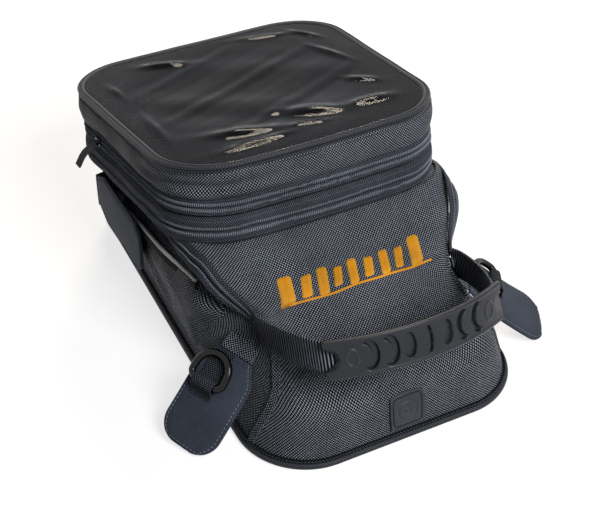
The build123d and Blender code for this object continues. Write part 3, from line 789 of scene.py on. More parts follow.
@dataclass
class ThreadRow:
    """Repeated thread dashes along a path, made by a Geometry Nodes tree."""

    pitch: float = 3.2
    length: float = 2.1
    radius: float = 0.34
    lay: Lay = Lay.ALONG

    def tree(self) -> tuple[Tree, dict[str, str]]:
        """Build the tree: resample the path, set a dash at each point, realize and paint."""
        tree = bpy.data.node_groups.new("thread_row", "GeometryNodeTree")
        face = tree.interface
        face.new_socket(name="Geometry", in_out="INPUT", socket_type="NodeSocketGeometry")
        names = {}
        for label, kind in (("Pitch", "Float"), ("Length", "Float"), ("Radius", "Float"),
                ("Paint", "Material")):
            names[label] = face.new_socket(name=label, in_out="INPUT",
                socket_type="NodeSocket" + kind).identifier
        face.new_socket(name="Geometry", in_out="OUTPUT", socket_type="NodeSocketGeometry")
        given = add_node(tree, "NodeGroupInput").outputs
        path = add_node(tree, "GeometryNodeResampleCurve",
            {"Curve": given["Geometry"], "Length": given["Pitch"]}, mode="LENGTH")
        dash = add_node(tree, "GeometryNodeMeshCylinder", {
            "Vertices": DASH_SIDES, "Radius": given["Radius"], "Depth": given["Length"]})
        heading = add_node(tree, "GeometryNodeInputTangent")
        turn = add_node(tree, "FunctionNodeAlignRotationToVector", {"Vector": heading.outputs[0]},
            axis=self.lay.value)
        dots = add_node(tree, "GeometryNodeInstanceOnPoints", {
            "Points": path.outputs[0], "Instance": dash.outputs["Mesh"],
            "Rotation": turn.outputs[0]})
        solid = add_node(tree, "GeometryNodeRealizeInstances", {0: dots.outputs[0]})
        painted = add_node(tree, "GeometryNodeSetMaterial",
            {"Geometry": solid.outputs[0], "Material": given["Paint"]})
        add_node(tree, "NodeGroupOutput", {0: painted.outputs[0]})
        return tree, names

    def build(
        self, name: str, paths: Sequence[Array], body: str, closed: bool = False,
        thread: Finish = DARK_THREAD,
    ) -> Obj:
        """Lay the row along each path and fix it to a body."""
        curve = bpy.data.curves.new(name, "CURVE")
        curve.dimensions = "3D"
        for path in paths:
            line = curve.splines.new("POLY")
            line.points.add(len(path) - 1)
            line.points.foreach_set("co", np.hstack([path * MM, np.ones((len(path), 1))]).ravel())
            line.use_cyclic_u = closed
        obj = bpy.data.objects.new(name, curve)
        bpy.context.scene.collection.objects.link(obj)
        tree, names = self.tree()
        mod = obj.modifiers.new("threads", "NODES")
        paint = PAINTS.get("zip_tape", thread.name, thread)
        mod.node_group = tree
        given = {"Pitch": self.pitch * MM, "Length": self.length * MM, "Radius": self.radius * MM,
            "Paint": paint}
        for label, value in given.items():
            mod[names[label]] = value
        made = apply_modifiers(obj)
        made.name = name
        made.data.shade_smooth()
        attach(made, body)
        LOG.info("threads %s on %s: %d faces", name, body, len(made.data.polygons))
        return made


SIM_FRAMES = 20  # length of the cloth simulation


def inflate(obj: Obj, voxel: float, cap: float, pressure: float = 4.0) -> Obj:
    """Round a closed padded shape with a short cloth simulation.

    Args:
        obj: closed mesh.
        voxel: remesh size in mm.
        cap: furthest that a point may move, in mm.
        pressure: pressure inside the pad.

    Returns:
        The object with the result in its mesh.
    """
    remesh = obj.modifiers.new("remesh", "REMESH")
    remesh.mode, remesh.voxel_size = "VOXEL", voxel * MM
    apply_modifiers(obj)
    start = np.empty(len(obj.data.vertices) * 3)
    obj.data.vertices.foreach_get("co", start)
    start = start.reshape(-1, 3)
    scene = bpy.context.scene
    cloth = obj.modifiers.new("cloth", "CLOTH")
    cloth.settings.use_pressure = True
    cloth.settings.uniform_pressure_force = pressure
    cloth.settings.effector_weights.gravity = 0
    cloth.settings.quality = 5
    cloth.point_cache.frame_start, cloth.point_cache.frame_end = 1, SIM_FRAMES
    for step in range(1, SIM_FRAMES + 1):
        scene.frame_set(step)
    apply_modifiers(obj)
    scene.frame_set(1)
    end = np.empty(len(obj.data.vertices) * 3)
    obj.data.vertices.foreach_get("co", end)
    move = end.reshape(-1, 3) - start
    size = np.linalg.norm(move, axis=1, keepdims=True)
    start = start + move * np.minimum(1, cap * MM / np.maximum(size, 1e-9))
    obj.data.vertices.foreach_set("co", start.ravel())
    smooth = obj.modifiers.new("smooth", "SMOOTH")
    smooth.iterations = 4
    fine = obj.modifiers.new("fine", "SUBSURF")
    fine.levels = fine.render_levels = 1
    apply_modifiers(obj)
    obj.data.shade_smooth()
    return obj


LADDER = ThreadRow(1.6, 2.6, 0.42, Lay.ACROSS)  # threads across a zip tape
SEAM = ThreadRow(2.4, 1.6, 0.28)  # small stitches of a seam

# ------------------------------------------------------------------ rings that follow the lid
RING_STEPS = 420  # points round the lid outline


@dataclass
class Ring:
    """A band that follows the lid outline, from a closed cross-section of (outward, level) pairs."""

    profile: Sequence[tuple[float, float]]
    crumple: float = 0.0
    seed: int = 1
    samples: int = 30

    def line(self, outward: float, level: float, sag: bool = True) -> Array:
        """Points of one line round the ring."""
        edge = LID.outline(0, RING_STEPS)
        heading = tangents(np.hstack([edge, np.zeros((len(edge), 1))]), closed=True)[:, :2]
        normal = np.stack([-heading[:, 1], heading[:, 0]], -1)
        if np.sum(normal * edge) < 0:
            normal = -normal
        run = np.concatenate([[0], np.cumsum(np.linalg.norm(np.diff(edge, axis=0), axis=1))])
        total = run[-1] + np.linalg.norm(edge[0] - edge[-1])
        push, drop = self.folds(edge, run / total, level) if sag else (0.0, 0.0)
        flat = edge + normal * (outward + push)[:,
            None] if np.ndim(push) else edge + normal * outward
        return LID.world(flat[:, 0], flat[:, 1], np.full(len(edge), level) + drop)

    def folds(self, edge: Array, share: Array, level: float) -> tuple[Array, Array]:
        """Outward push and drop of the soft folds, stronger at the front left."""
        phase = share * 2 * np.pi
        wave = sum(
            g * np.sin(k * phase + self.seed * 1.7 + p + level * t)
            for k, g, p, t in ((5, 0.5, 0.3, 0.03), (9, 0.45, 1.9, 0.09), (14, 0.35, 4.0, -0.12),
            (23, 0.22, 2.2, 0.2))
        )
        front_left = bump(edge[:, 0], -75, 55) * bump(edge[:, 1], -95, 45)
        crease = -5.6 * front_left * bump(np.full(len(edge), level), -17.5, 4.0)
        crease = crease + 2.4 * front_left * bump(np.full(len(edge), level), -24, 4.0)
        return self.crumple * wave * (1 + 0.8 * front_left) + crease * (
            self.crumple > 0.3), 0.35 * self.crumple * wave

    def build(self, name: str) -> Obj:
        """Make the ring as a closed tube."""
        section = spline(self.profile, self.samples, closed=True)
        grid = np.stack([self.line(o, w) for o, w in section], 0)
        return outward_faces(sheet_mesh(name, grid, closed_u=True, closed_v=True))


def outward_faces(obj: Obj) -> Obj:
    """Point the faces of a closed mesh outwards."""
    mesh = bmesh.new()
    mesh.from_mesh(obj.data)
    bmesh.ops.recalc_face_normals(mesh, faces=mesh.faces)
    mesh.to_mesh(obj.data)
    mesh.free()
    return obj


@dataclass
class Lid:
    """Clear-topped lid: welt, padded band, upper zip tape, window, map floor and pull tab."""

    body: str = "lid"
    window_inset: float = 4.5
    floor_level: float = -14.5

    def build(self) -> None:
        """Build and dress every piece of the lid."""
        welt = Ring([(-5.2, -1.8), (-4.0, -0.2), (-2.4, 0.3), (-1.3, -0.7), (-0.6, -0.9),
            (0.4, 0.0), (1.6, -1.4),
                     (1.1, -2.9), (0.1, -3.3), (1.2, -4.2), (0.8, -5.4), (-0.8, -6.0),
                     (-4.8, -5.6)], 0.15, 3, 64).build("lid_welt_roll")
        place_piece(welt, self.body, "piping", ["lid_welt"])
        band = Ring([(-0.4, -5.4), (1.0, -8), (2.0, -13), (2.3, -18), (1.6, -23), (0.2, -27.4),
            (-1.8, -28.8),
                     (-5.2, -27.5), (-6.0, -17), (-5.2, -6)], 1.1, 5, 48).build("lid_band_cloth")
        place_piece(band, self.body, "ballistic_nylon", ["lid_band"])
        tape = Ring([(-0.8, -28.2), (0.2, -29.4), (-0.4, -30.6), (-0.2, -32.0), (0.4, -33.2),
            (-0.2, -34.7),
                     (-2.0, -34.9), (-6.2, -34.4), (-6.2, -28.6)], 0.3, 8).build("lid_zip_tape")
        place_piece(tape, self.body, "zip_tape", ["main_zip_upper"])
        ring = Ring([], 1.1, 5)
        ThreadRow(2.6, 1.7, 0.3).build("lid_seam_top", [ring.line(1.4, -7.6)], self.body,
            closed=True)
        tape_ring = Ring([], 0.3, 8)
        LADDER.build("lid_zip_teeth", [tape_ring.line(0.35, -32.6)], self.body, closed=True,
            thread=STITCH_THREAD)
        SEAM.build("lid_zip_seam", [tape_ring.line(0.1, -29.6)], self.body, closed=True)
        self.window()
        self.floor()
        self.tab()

    def disc(self, name: str, inset: float, level: float, height: Callable[[Array, Array], Array],
            rings: int) -> Obj:
        """Sheet that fills the lid outline, with a height over it."""
        edge = LID.outline(inset, 300)
        share = np.linspace(0.004, 1, rings)[:, None, None]
        flat = edge[None] * share
        points = LID.world(flat[..., 0], flat[..., 1], level + height(flat[..., 0], flat[..., 1]))
        obj = sheet_mesh(name, points, closed_u=True, uv=flat, flip=True)
        mesh = bmesh.new()
        mesh.from_mesh(obj.data)
        mesh.verts.ensure_lookup_table()
        mesh.faces.new([mesh.verts[i] for i in range(len(edge))])
        bmesh.ops.recalc_face_normals(mesh, faces=mesh.faces)
        mesh.to_mesh(obj.data)
        mesh.free()
        if sum(p.normal.z * p.area for p in obj.data.polygons) < 0:
            obj.data.flip_normals()
        obj.data.shade_smooth()
        return obj

    def window(self) -> None:
        """Clear film with long creases and a slack, rippled surface."""

        def height(x: Array, v: Array) -> Array:
            edge_pull = 1 - ease(np.hypot(x / 114, v / 119) ** 3)
            slack = -1.6 * edge_pull + 0.7 * ripple(x * 0.7 + v * 0.9, 21, 170) * edge_pull
            out = slack + 0.35 * ripple(v - 0.5 * x, 5, 60) * edge_pull
            for cx, cv, turn, long, wide, high in (
                (-44, -78, 0.3, 26, 7.5, 3.0), (20, -72, 0.55, 24, 8.5, 3.2),
                (68, -84, 0.1, 17, 6.5, 2.5),
                (-42, -102, -0.05, 26, 5.0, 1.9), (-42, 92, 0.4, 18, 6.0, 2.4),
                (90, 30, 1.3, 24, 4.0, 1.6),
                (92, 84, 1.1, 16, 3.5, 1.5), (-98, -30, 1.6, 28, 4.0, 1.3),
                (8, -94, 0.25, 14, 3.5, 1.3),
                (84, -40, 0.9, 14, 4.5, 1.6), (-99, 60, 1.5, 16, 3.5, 1.2),
                (60, 100, 0.3, 20, 4.0, 1.3),
            ):
                a = (x - cx) * math.cos(turn) - (v - cv) * math.sin(turn)
                b = (x - cx) * math.sin(turn) + (v - cv) * math.cos(turn)
                out = out + high * np.exp(-((a / long) ** 2) - ((b / wide) ** 2))
            return out

        film = thicken(self.disc("window_film", self.window_inset, -0.9, height, 90), 0.5)
        place_piece(film, self.body, "clear_vinyl", ["map_window"])

    def floor(self) -> None:
        """Fleece floor of the map pocket, its walls and the darker sewn panel on it."""
        walls = Ring([(-5.4, -1.2), (-6.0, -5), (-7.2, -10), (-8.8, -14.6), (-10, -15.2),
            (-6.6, -15.4), (-5.9, -9)], 0.3, 12)
        place_piece(walls.build("map_pocket_wall"), self.body, "plain_nylon")

        def height(x: Array, v: Array) -> Array:
            return 0.9 * ripple(x * 0.8 - v * 0.5, 31, 130) - 1.4 * bump(v + 0.12 * x, -38, 3.5)

        floor = thicken(self.disc("map_pocket_base", 8, self.floor_level, height, 60), 1.0)
        place_piece(floor, self.body, "fleece", ["map_pocket_floor"])
        half_x, half_v = 62.0, 44.0
        angle = np.linspace(0, 2 * np.pi, 120, endpoint=False)
        c, s = np.cos(angle), np.sin(angle)
        rim = np.stack([half_x * np.sign(c) * np.abs(c) ** 0.35,
            half_v * np.sign(s) * np.abs(s) ** 0.35], -1)
        rows = []
        for share, lift in ((1.0, -0.6), (1.0, 0.9), (0.97, 1.5), (0.9, 1.7), (0.6, 1.7),
                (0.3, 1.7), (0.02, 1.7)):
            x, v = rim[:, 0] * share - 8, rim[:, 1] * share + 34
            rows.append(LID.world(x, v, self.floor_level + height(x, v) + lift))
        patch = outward_faces(sheet_mesh("map_pocket_panel", np.array(rows), closed_u=True))
        place_piece(patch, self.body, "plain_nylon", key="deep black lining", finish=Finish(
            "black pile lining", "#070708", "#020202", Pattern.GRAIN, 1.4, 0.4, 0.95, ior=1.1))
        seam_x = np.linspace(-96, 96, 90)
        seam_v = -38 - 0.12 * seam_x
        seam = LID.world(seam_x, seam_v, self.floor_level + height(seam_x, seam_v) + 1.3)
        ThreadRow(3.0, 2.0, 0.35).build("map_pocket_seam", [seam], self.body)

    def tab(self) -> None:
        """Short folded pull tab at the rear edge."""
        path = np.stack([np.full(14, -20.0), *LID_TAB_LINE.T], -1)
        tab = sweep("lid_tab_fold", path, slab_section(14, 1.6), (0, 0.3, 1))
        place_piece(tab, self.body, "plain_nylon", ["lid_pull_tab"])


LID_TAB_LINE = np.array([
    LID.world(vec(0.0), vec(124.0 + 0.62 * k), vec(-3.4 + 1.1 * math.sin(k / 3)))[0][1:]
    for k in range(14)])


@dataclass
class Collar:
    """The expanding collar: two zips, a binding between them, a folded gusset and the hinge tape."""

    def build(self) -> None:
        """Build and dress every piece of the collar."""
        lower = Ring([(-0.6, -35.3), (0.5, -36.6), (0.0, -38.2), (0.6, -39.8), (0.2, -41.4),
            (-1.6, -42.4),
                      (-6.2, -41.8), (-6.2, -35.6), (-2.0, -35.1)], 0.35,
                      14).build("collar_zip_tape")
        place_piece(lower, "collar", "zip_tape", ["main_zip_lower"])
        binding = Ring([(-3.4, -42.0), (-2.4, -43.2), (-3.2, -44.4), (-8.4, -44.6),
            (-8.4, -41.6)], 0.2, 15)
        place_piece(binding.build("collar_groove_binding"), "collar", "plain_nylon",
            ["collar_binding"])
        upper = Ring([(-2.2, -43.8), (-0.2, -45.6), (1.2, -48.6), (1.2, -51.6), (0.3, -54.2),
            (-1.6, -55.2),
                      (-7.0, -54.8), (-7.8, -49), (-7.0, -44.2)], 0.7, 17,
                      36).build("collar_gusset_band")
        place_piece(upper, "collar", "zip_tape", ["expansion_zip_upper"])
        under = Ring([(-1.4, -55.8), (0.6, -57.2), (1.6, -60.2), (1.2, -63.6), (-0.6, -66.4),
            (-3.0, -67.4),
                      (-7.0, -66.8), (-7.8, -61), (-7.0, -56.2)], 0.7, 17, 36).build("rim_zip_tape")
        place_piece(under, "tub", "zip_tape", ["expansion_zip_lower"])
        self.rows()
        self.gusset()
        self.hinge()

    def rows(self) -> None:
        """Zip teeth and stitch rows of the collar and of the tub's rim."""
        main, wide = Ring([], 0.35, 14), Ring([], 0.7, 17)
        for row, name, line, body in (
            (LADDER, "collar_zip_teeth", main.line(0.45, -37.4), "collar"),
            (SEAM, "collar_zip_seam", main.line(0.55, -40.6), "collar"),
            (LADDER, "collar_gusset_teeth", wide.line(1.05, -52.6), "collar"),
            (SEAM, "collar_gusset_seam", wide.line(0.7, -46.9), "collar"),
            (LADDER, "rim_zip_teeth", wide.line(1.0, -58.2), "tub"),
            (SEAM, "rim_zip_seam", wide.line(1.3, -63.2), "tub"),
        ):
            thread = STITCH_THREAD if row is LADDER else DARK_THREAD
            row.build(name, [line], body, closed=True, thread=thread)

    def gusset(self) -> None:
        """Pleated wall inside the collar, from the tub's rim up to the collar."""
        rows = []
        for k in range(13):
            level = -67.5 + 24 * k / 12
            rows.append(Ring([], 0.0, 2).line(-9.4 - 0.5 * math.cos(k * math.pi), level))
        wall = thicken(outward_faces(sheet_mesh("gusset_wall", np.array(rows), closed_u=True)), 1.0)
        PAINTS.dress(wall, "plain_nylon")
        start = LID.world(vec(0.0), vec(0.0), vec(-66.0))[0] * MM
        end = LID.world(vec(0.0), vec(0.0), vec(-45.0))[0] * MM
        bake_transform(wall)
        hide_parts("expansion_gusset")
        LOG.info("piece %s bends between tub and collar", wall.name)

    def hinge(self) -> None:
        """Flat woven tape that the lid hinges on at the rear."""
        x = np.linspace(-60, 60, 50)
        path = LID.world(x, np.full(50, 124.5 - 0.9), np.full(50, -45.0))
        tape = sweep("hinge_tape_woven", path, slab_section(17.0, 1.2), LID.along)
        place_piece(tape, "collar", "webbing", ["lid_hinge_tape"])


SEAM_HEIGHTS = [0, 0.45, 0.75, 1]
SEAM_SIDES = [0.30, 0.29, 0.31, 0.34]


@dataclass
class Tub:
    """Fabric tub: one lofted shell with its rim, base, piping, seams, badge and embroidery."""

    columns: int = 300
    wall_rows: int = 70

    def shell(self) -> None:
        """Walls from the base to the rim, and the ledge that turns in under the collar."""
        half = np.linspace(0, 1, self.columns // 2 + 1)
        rows = []
        heights = np.concatenate([[0.0, 0.006, 0.014], np.linspace(0.03, 1.0, self.wall_rows)])
        for h in heights:
            pinch = 1.0 - 0.012 * (1 - ease(vec(h / 0.02)))[0]
            right = TUB.point(half, h) * vec(pinch, pinch, 1)
            left = TUB.point(half[1:-1], h, -1.0)[::-1] * vec(pinch, pinch, 1)
            rows.append(np.vstack([right, left]))
        grid = np.array(rows)
        uv = np.zeros(grid.shape[:2] + (2,))
        steps = np.linalg.norm(np.roll(grid, -1, 1) - grid, axis=2)
        middle = len(half) - 1
        uv[:, 1:, 0] = np.cumsum(steps, 1)[:, :-1]
        uv[:, middle + 1 :, 0] -= steps.sum(1)[:, None]
        climb = np.zeros(grid.shape[:2])
        climb[1:] = np.cumsum(np.linalg.norm(np.diff(grid, axis=0), axis=2), 0)
        share = np.concatenate([half, half[1:-1][::-1]])
        for k, seam in enumerate(np.interp(heights, SEAM_HEIGHTS, SEAM_SIDES)):
            beyond = share > seam
            start = np.interp(seam, half, uv[k, : len(half), 0])
            uv[k, beyond, 0] -= np.sign(uv[k, beyond, 0]) * start
            uv[k, :, 1] = np.where(beyond, climb[k, int(0.45 * middle)], climb[k, 0])
        shell = sheet_mesh("tub_shell", grid, closed_u=True, uv=uv)
        shell = thicken(outward_faces(shell), 2.6)
        place_piece(shell, "tub", "ballistic_nylon", [
            "front_panel", "side_panel_left", "side_panel_right", "rear_panel"])
        ledge = []
        top = rows[-1]
        centre = vec(0, LID.centre_y - 4, 0)
        for share, drop in ((0.0, 0.6), (0.0, -1.4), (0.03, -2.6), (0.2, -2.8), (0.2, -0.2),
                (0.06, 0.4)):
            ring = top + (centre * vec(1, 1, 0) - top) * vec(share, share, 0)
            ring[:, 2] = LID.rim_height(ring[:, 1], RIM_LEVEL) + drop
            ring[:, 2] = np.minimum(ring[:, 2], top[:, 2] + 2.0)
            ledge.append(ring)
        rim = outward_faces(sheet_mesh("tub_rim_ledge", np.array(ledge), closed_u=True,
            closed_v=True))
        place_piece(rim, "tub", "ballistic_nylon", ["rim_flange"])

    def outline(self, grow: float, z: float) -> Array:
        """Closed plan outline of the tub near its base."""
        half = np.linspace(0, 1, 200)
        ring = np.vstack([TUB.point(half, 0.0), TUB.point(half[1:-1], 0.0, -1.0)[::-1]])
        ring[:, 2] = z
        heading = tangents(ring, closed=True)
        out = np.cross(heading, vec(0, 0, 1))
        if np.sum(out * ring) < 0:
            out = -out
        return ring + out * grow

    def base(self) -> None:
        """Underside panel and the rolled piping round it."""
        rows = [self.outline(0, 5.0), self.outline(0.4, 3.0), self.outline(0.0, 0.8),
            self.outline(-2.0, 0.15)]
        rows += [rows[-1] * vec(s, s, 1) for s in (0.8, 0.5, 0.2, 0.01)]
        inner = [self.outline(-2.0, 4.9) * vec(s, s, 1) for s in (0.01, 0.5, 1.0)]
        panel = outward_faces(sheet_mesh("base_cloth", np.array(rows + inner), closed_u=True,
            closed_v=True))
        place_piece(panel, "tub", "ballistic_nylon", ["base_panel"])
        cord = sweep("base_piping_roll", self.outline(1.3, 2.9), round_section(2.7, 14),
            (0, 0, 1), closed=True)
        place_piece(outward_faces(cord), "tub", "piping", ["base_piping"])
        lip = sweep("base_binding_strip", self.outline(0.3, 6.6), slab_section(2.4, 3.6, 14),
            (0, 0, 1), closed=True)
        place_piece(outward_faces(lip), "tub", "plain_nylon")
        ThreadRow(2.8, 1.8, 0.28).build("base_piping_stitch", [self.outline(1.6, 7.4)], "tub",
            closed=True)

    def front(self, x: Array, z: Array, lift: float = 0.0) -> Array:
        """Points on the front face."""
        return TUB.front_point(x, z, lift)

    def seams(self) -> None:
        """Raised corner seams with two stitch rows each, from the base up to the rim."""
        for label, sign in (("left", -1.0), ("right", 1.0)):
            height = np.linspace(0.02, 0.985, 120)
            side = np.interp(height, SEAM_HEIGHTS, SEAM_SIDES)
            path = TUB.point(side, height, sign)
            ahead = TUB.point(side - 0.02, height, sign) - path
            up = np.gradient(path, axis=0)
            out = unit(np.cross(up, ahead)) * sign
            if np.mean(out[:, 0] * sign) < 0:
                out = -out
            fold = sweep("corner_seam_" + label, path + out * 0.5, slab_section(7.0, 1.6), out)
            place_piece(fold, "tub", "ballistic_nylon")
            across = unit(np.cross(out, up))
            rows = [path + across * k + out * 1.45 for k in (-2.4, 2.4)]
            ThreadRow(3.0, 2.0, 0.32).build("corner_stitch_" + label, rows, "tub",
                thread=DARK_THREAD)

    def badge(self) -> None:
        """Square rubber badge with a stitched border and a plain round mark."""
        size, thick, centre = 30.0, 2.0, 27.0
        n = 61
        a = np.linspace(-1, 1, n)
        gx, gz = np.meshgrid(a, a)
        r = np.maximum(np.abs(gx), np.abs(gz))
        soft_x = gx * np.sqrt(1 - 0.12 * gz**2 * (r > 0.5)) * size / 2
        soft_z = gz * np.sqrt(1 - 0.12 * gx**2 * (r > 0.5)) * size / 2
        radius = np.hypot(gx, gz) * size / 2
        relief = thick - 0.9 * bump(radius, 8.2, 0.6) - 0.9 * bump(radius, 2.4,
            0.6) - 0.35 * bump(r, 0.83, 0.035)
        relief = relief + 0.3 * bump(r, 0.95, 0.04)
        top = np.stack([self.front(soft_x[j], centre + soft_z[j]) for j in range(n)])
        out = unit(np.cross(np.gradient(top, axis=1), np.gradient(top, axis=0)))
        if out[..., 1].mean() > 0:
            out = -out
        face = top + out * relief[..., None]
        rim_in = top + out * -0.4
        rows = [rim_in[0][None], face, rim_in[-1][None]]
        grid = np.vstack(rows)
        grid = np.concatenate([np.vstack([grid[:1, 0], rim_in[:, 0], grid[-1:, 0]])[:, None], grid,
                               np.vstack([grid[:1, -1], rim_in[:, -1], grid[-1:, -1]])[:, None]],
                               axis=1)
        badge = sheet_mesh("badge_plate", grid)
        if sum(p.normal.y * p.area for p in badge.data.polygons) > 0:
            badge.data.flip_normals()
        place_piece(badge, "tub", "patch_rubber", ["patch_label"])
        t = np.linspace(0, 2 * np.pi, 100, endpoint=False)
        c, s = np.cos(t), np.sin(t)
        bx, bz = 12.4 * np.sign(c) * np.abs(c) ** 0.3, 12.4 * np.sign(s) * np.abs(s) ** 0.3
        line = np.stack([self.front(vec(x), vec(centre + z), thick + 0.05)[0]
            for x, z in zip(bx, bz)])
        ThreadRow(2.7, 1.8, 0.3).build("badge_stitch", [line], "tub", closed=True, thread=Finish(
            "black bonded thread", "#17181b", "#0e0f11", Pattern.PLAIN, 0.5, 0.02, 0.6))

    def embroidery(self) -> None:
        """Slanted satin bars over a thin underline, padded so that they stand proud."""
        pieces = []
        bars = [(-58, 15, 1.15), (-41, 11, 0.8), (-27, 11, 0.95), (-14, 9, 0.7), (-1, 10, 0.95),
            (13, 10, 0.75),
                (27, 10, 0.95), (40, 9, 0.75), (55, 13, 1.15)]
        for k, (x, width, tall) in enumerate(bars):
            z_mid = TUB.front_z(vec(-99.0))[0]
            tall_z = 10.5 * tall
            v = np.linspace(-1, 1, 21)
            u = np.linspace(-1, 1, 13)
            uu, vv = np.meshgrid(u, v)
            half = width / 2 * 0.82 * (1 - 0.9 * np.clip(np.abs(vv) - 0.86, 0, 1) * 3)
            px = x + uu * half + vv * 3.4
            pz = z_mid + vv * tall_z * 0.5
            grid = TUB.front_point(px, pz)
            out = unit(np.cross(np.gradient(grid, axis=1), np.gradient(grid, axis=0)))
            out = out * np.sign(out[..., 2:3].mean())
            dome = 0.9 * (1 - uu**6) * (1 - np.abs(vv) ** 10) - 0.1
            uv = np.stack([uu * half, vv * tall_z], -1)
            pieces.append(sheet_mesh("bar_%d" % k, grid + out * dome[..., None], uv=uv))
        x = np.linspace(-60, 66, 100)
        z = np.full(100, TUB.front_z(vec(-110.5))[0])
        path = TUB.front_point(x, z, 0.3)
        pieces.append(sweep("underline", path, slab_section(1.8, 1.2, 10), (0, -0.5, 0.86)))
        for p in pieces[:-1]:
            if sum(f.normal.z * f.area for f in p.data.polygons) < 0:
                p.data.flip_normals()
        place_piece(join(pieces, "embroidered_bars"), "tub", "orange_thread", ["embroidery"])

    def build(self) -> None:
        """Build and dress every piece of the tub."""
        self.shell()
        self.base()
        self.seams()
        self.badge()
        self.embroidery()


POUCH_X = 117.6  # half-width across the two pouches
CLOSE = 0.7  # offsets up to this follow the wall as they are, larger ones fade at the pouch's ends


@dataclass
class SidePocket:
    """Bulging side pocket with its curved zip and reflective piping, one on each side."""

    side: str

    @property
    def sign(self) -> float:
        """Minus one on the left and one on the right."""
        return -1.0 if self.side == "left" else 1.0

    def wall(self, y: Array, z: Array, lift: float = 0.0) -> Array:
        """Point on the tub's side wall."""
        y, z = np.broadcast_arrays(np.asarray(y, float), np.asarray(z, float))

        def at(py: Array, pz: Array) -> Array:
            p = np.stack([self.sign * TUB.side_x(py, pz), py, pz], -1)
            return p + TUB.relief(p[..., 0], p[..., 1], p[..., 2])

        out = unit(np.cross(at(y + 0.5, z) - at(y - 0.5, z),
            at(y, z + 0.5) - at(y, z - 0.5))) * self.sign
        return at(y, z) + lift * out

    def pouch(self) -> None:
        """Padded pouch: a ledge under the zip, a rounded outer edge and a long taper below."""
        y = np.linspace(-78, 115, 64)
        top = np.interp(y, [-78, -66, -50, 115], [80, 93, 103.5, 73])
        low = np.interp(y, [-78, -60, -52, 60, 115], [70, 42, 20, 20, 25])
        full = ease((y + 80) / 26) * ease((118 - y) / 14)
        rows = []
        for yy, t, b, f in zip(y, top, low, full):
            wall = float(TUB.half_width(vec(yy), vec((t + b) / 2))[0])
            reach = POUCH_X - wall
            shape = [(0.0, 0.6), (0.1, 3.6), (0.22, 0.8 * reach), (0.33, reach),
                (0.45, reach * 0.88),
                     (0.6, reach * 0.4), (0.78, 1.4), (1.0, 0.4), (0.97, -4.0), (0.5, -4.4),
                     (0.03, -4.0)]
            line = []
            for share, out in shape:
                z = t + (b - t) * share
                line.append([0, yy, z, out * f if out > CLOSE else out])
            line = np.array(line)
            base = self.wall(line[:, 1], line[:, 2])
            base[:, 0] += self.sign * line[:, 3]
            over = self.sign * base[:, 0] > POUCH_X
            base[over, 0] = self.sign * POUCH_X
            rows.append(spline(base, 36, closed=True))
        pouch = sheet_mesh("pouch_" + self.side, np.array(rows), closed_u=True)
        cap_ends(pouch, len(rows), 36)
        pouch = inflate(pouch, 3.6, 2.5)
        place_piece(pouch, "tub", "ballistic_nylon", ["side_pocket_" + self.side],
                              key="formed cloth", finish=SEAMED_CLOTH)

    def zip(self) -> None:
        """Curved zip tape that runs below the rim and down the front corner."""
        y = np.array([116, 80, 30, -10, -38, -56, -70, -84, -94, -101])
        z = np.array([80.3, 87, 97.5, 106, 111, 110.5, 105, 97.5, 91, 86])
        line = spline(np.stack([y, z], -1), 160)
        for name, half, lift, kind in (("pocket_zip_tape_", 7.6, 2.4, "zip_tape"),
                ("pocket_zip_spine_", 0.7, 3.6, "plain_nylon")):
            path, out = self.band(line, lift)
            tape = sweep(name + self.side, path, slab_section(half * 2, 2.4 if half > 2 else 0.7),
                out)
            place_piece(tape, "tub", kind, ["pocket_zip_" + self.side] if half > 2 else ())
        path, out = self.band(line, 3.75)
        across = unit(np.cross(out, tangents(path)))
        rows = [path + across * k for k in (-2.6, 2.6)]
        ThreadRow(1.7, 2.4, 0.42, Lay.ACROSS).build("pocket_zip_teeth_" + self.side, rows, "tub",
            thread=STITCH_THREAD)

    def band(self, line: Array, lift: float) -> tuple[Array, Array]:
        """Smoothed path over the wall, and the wall's direction along it."""
        path = self.wall(line[:, 0], line[:, 1], lift)
        out = self.wall(line[:, 0], line[:, 1], lift + 1) - path
        span = 17
        weights = np.hanning(span + 2)[1:-1] / np.hanning(span + 2).sum()
        both = np.pad(np.hstack([path, out]), ((span // 2, span // 2), (0, 0)), mode="reflect",
            reflect_type="odd")
        both = np.stack([np.convolve(c, weights, "valid") for c in both.T], -1)
        tilt = bump(both[:, 1], -66, 34)[:, None]
        out = unit(unit(both[:, 3:]) * (1 - 0.8 * tilt) + tilt
            * unit(vec(self.sign * 0.7, -0.25, 0.66)))
        return both[:, :3] + 2.2 * tilt * out, out

    def piping(self) -> None:
        """Reflective piping along the pouch's outer edge, pale and whitened as a painted highlight,
        over a smooth dark binding.
        """
        y = np.linspace(-54, 108, 60)
        z = np.interp(y, [-54, 108], [99.0, 69.5]) + 0.8 * np.sin(y / 30)
        path = np.stack([np.full(60, self.sign * 118.2), y, z], -1)
        path[:24, 0] -= self.sign * 4.5 * (1 - ease(np.linspace(0, 1, 24)))
        cord = sweep("pocket_piping_" + self.side, path, round_section(1.7, 10), (self.sign, 0, 0))
        below = path + np.linspace(4.5, 6.5, 60)[:, None] * vec(self.sign * -0.06, 0, -1)
        strip = sweep("pocket_binding_" + self.side, below, slab_section(9.0, 1.4),
            (self.sign, 0, 0.1))
        place_piece(strip, "tub", "plain_nylon")
        place_piece(cord, "tub", "reflective", ["reflective_piping_" + self.side])

    def build(self) -> None:
        """Build and dress the pocket."""
        self.pouch()
        self.zip()
        self.piping()


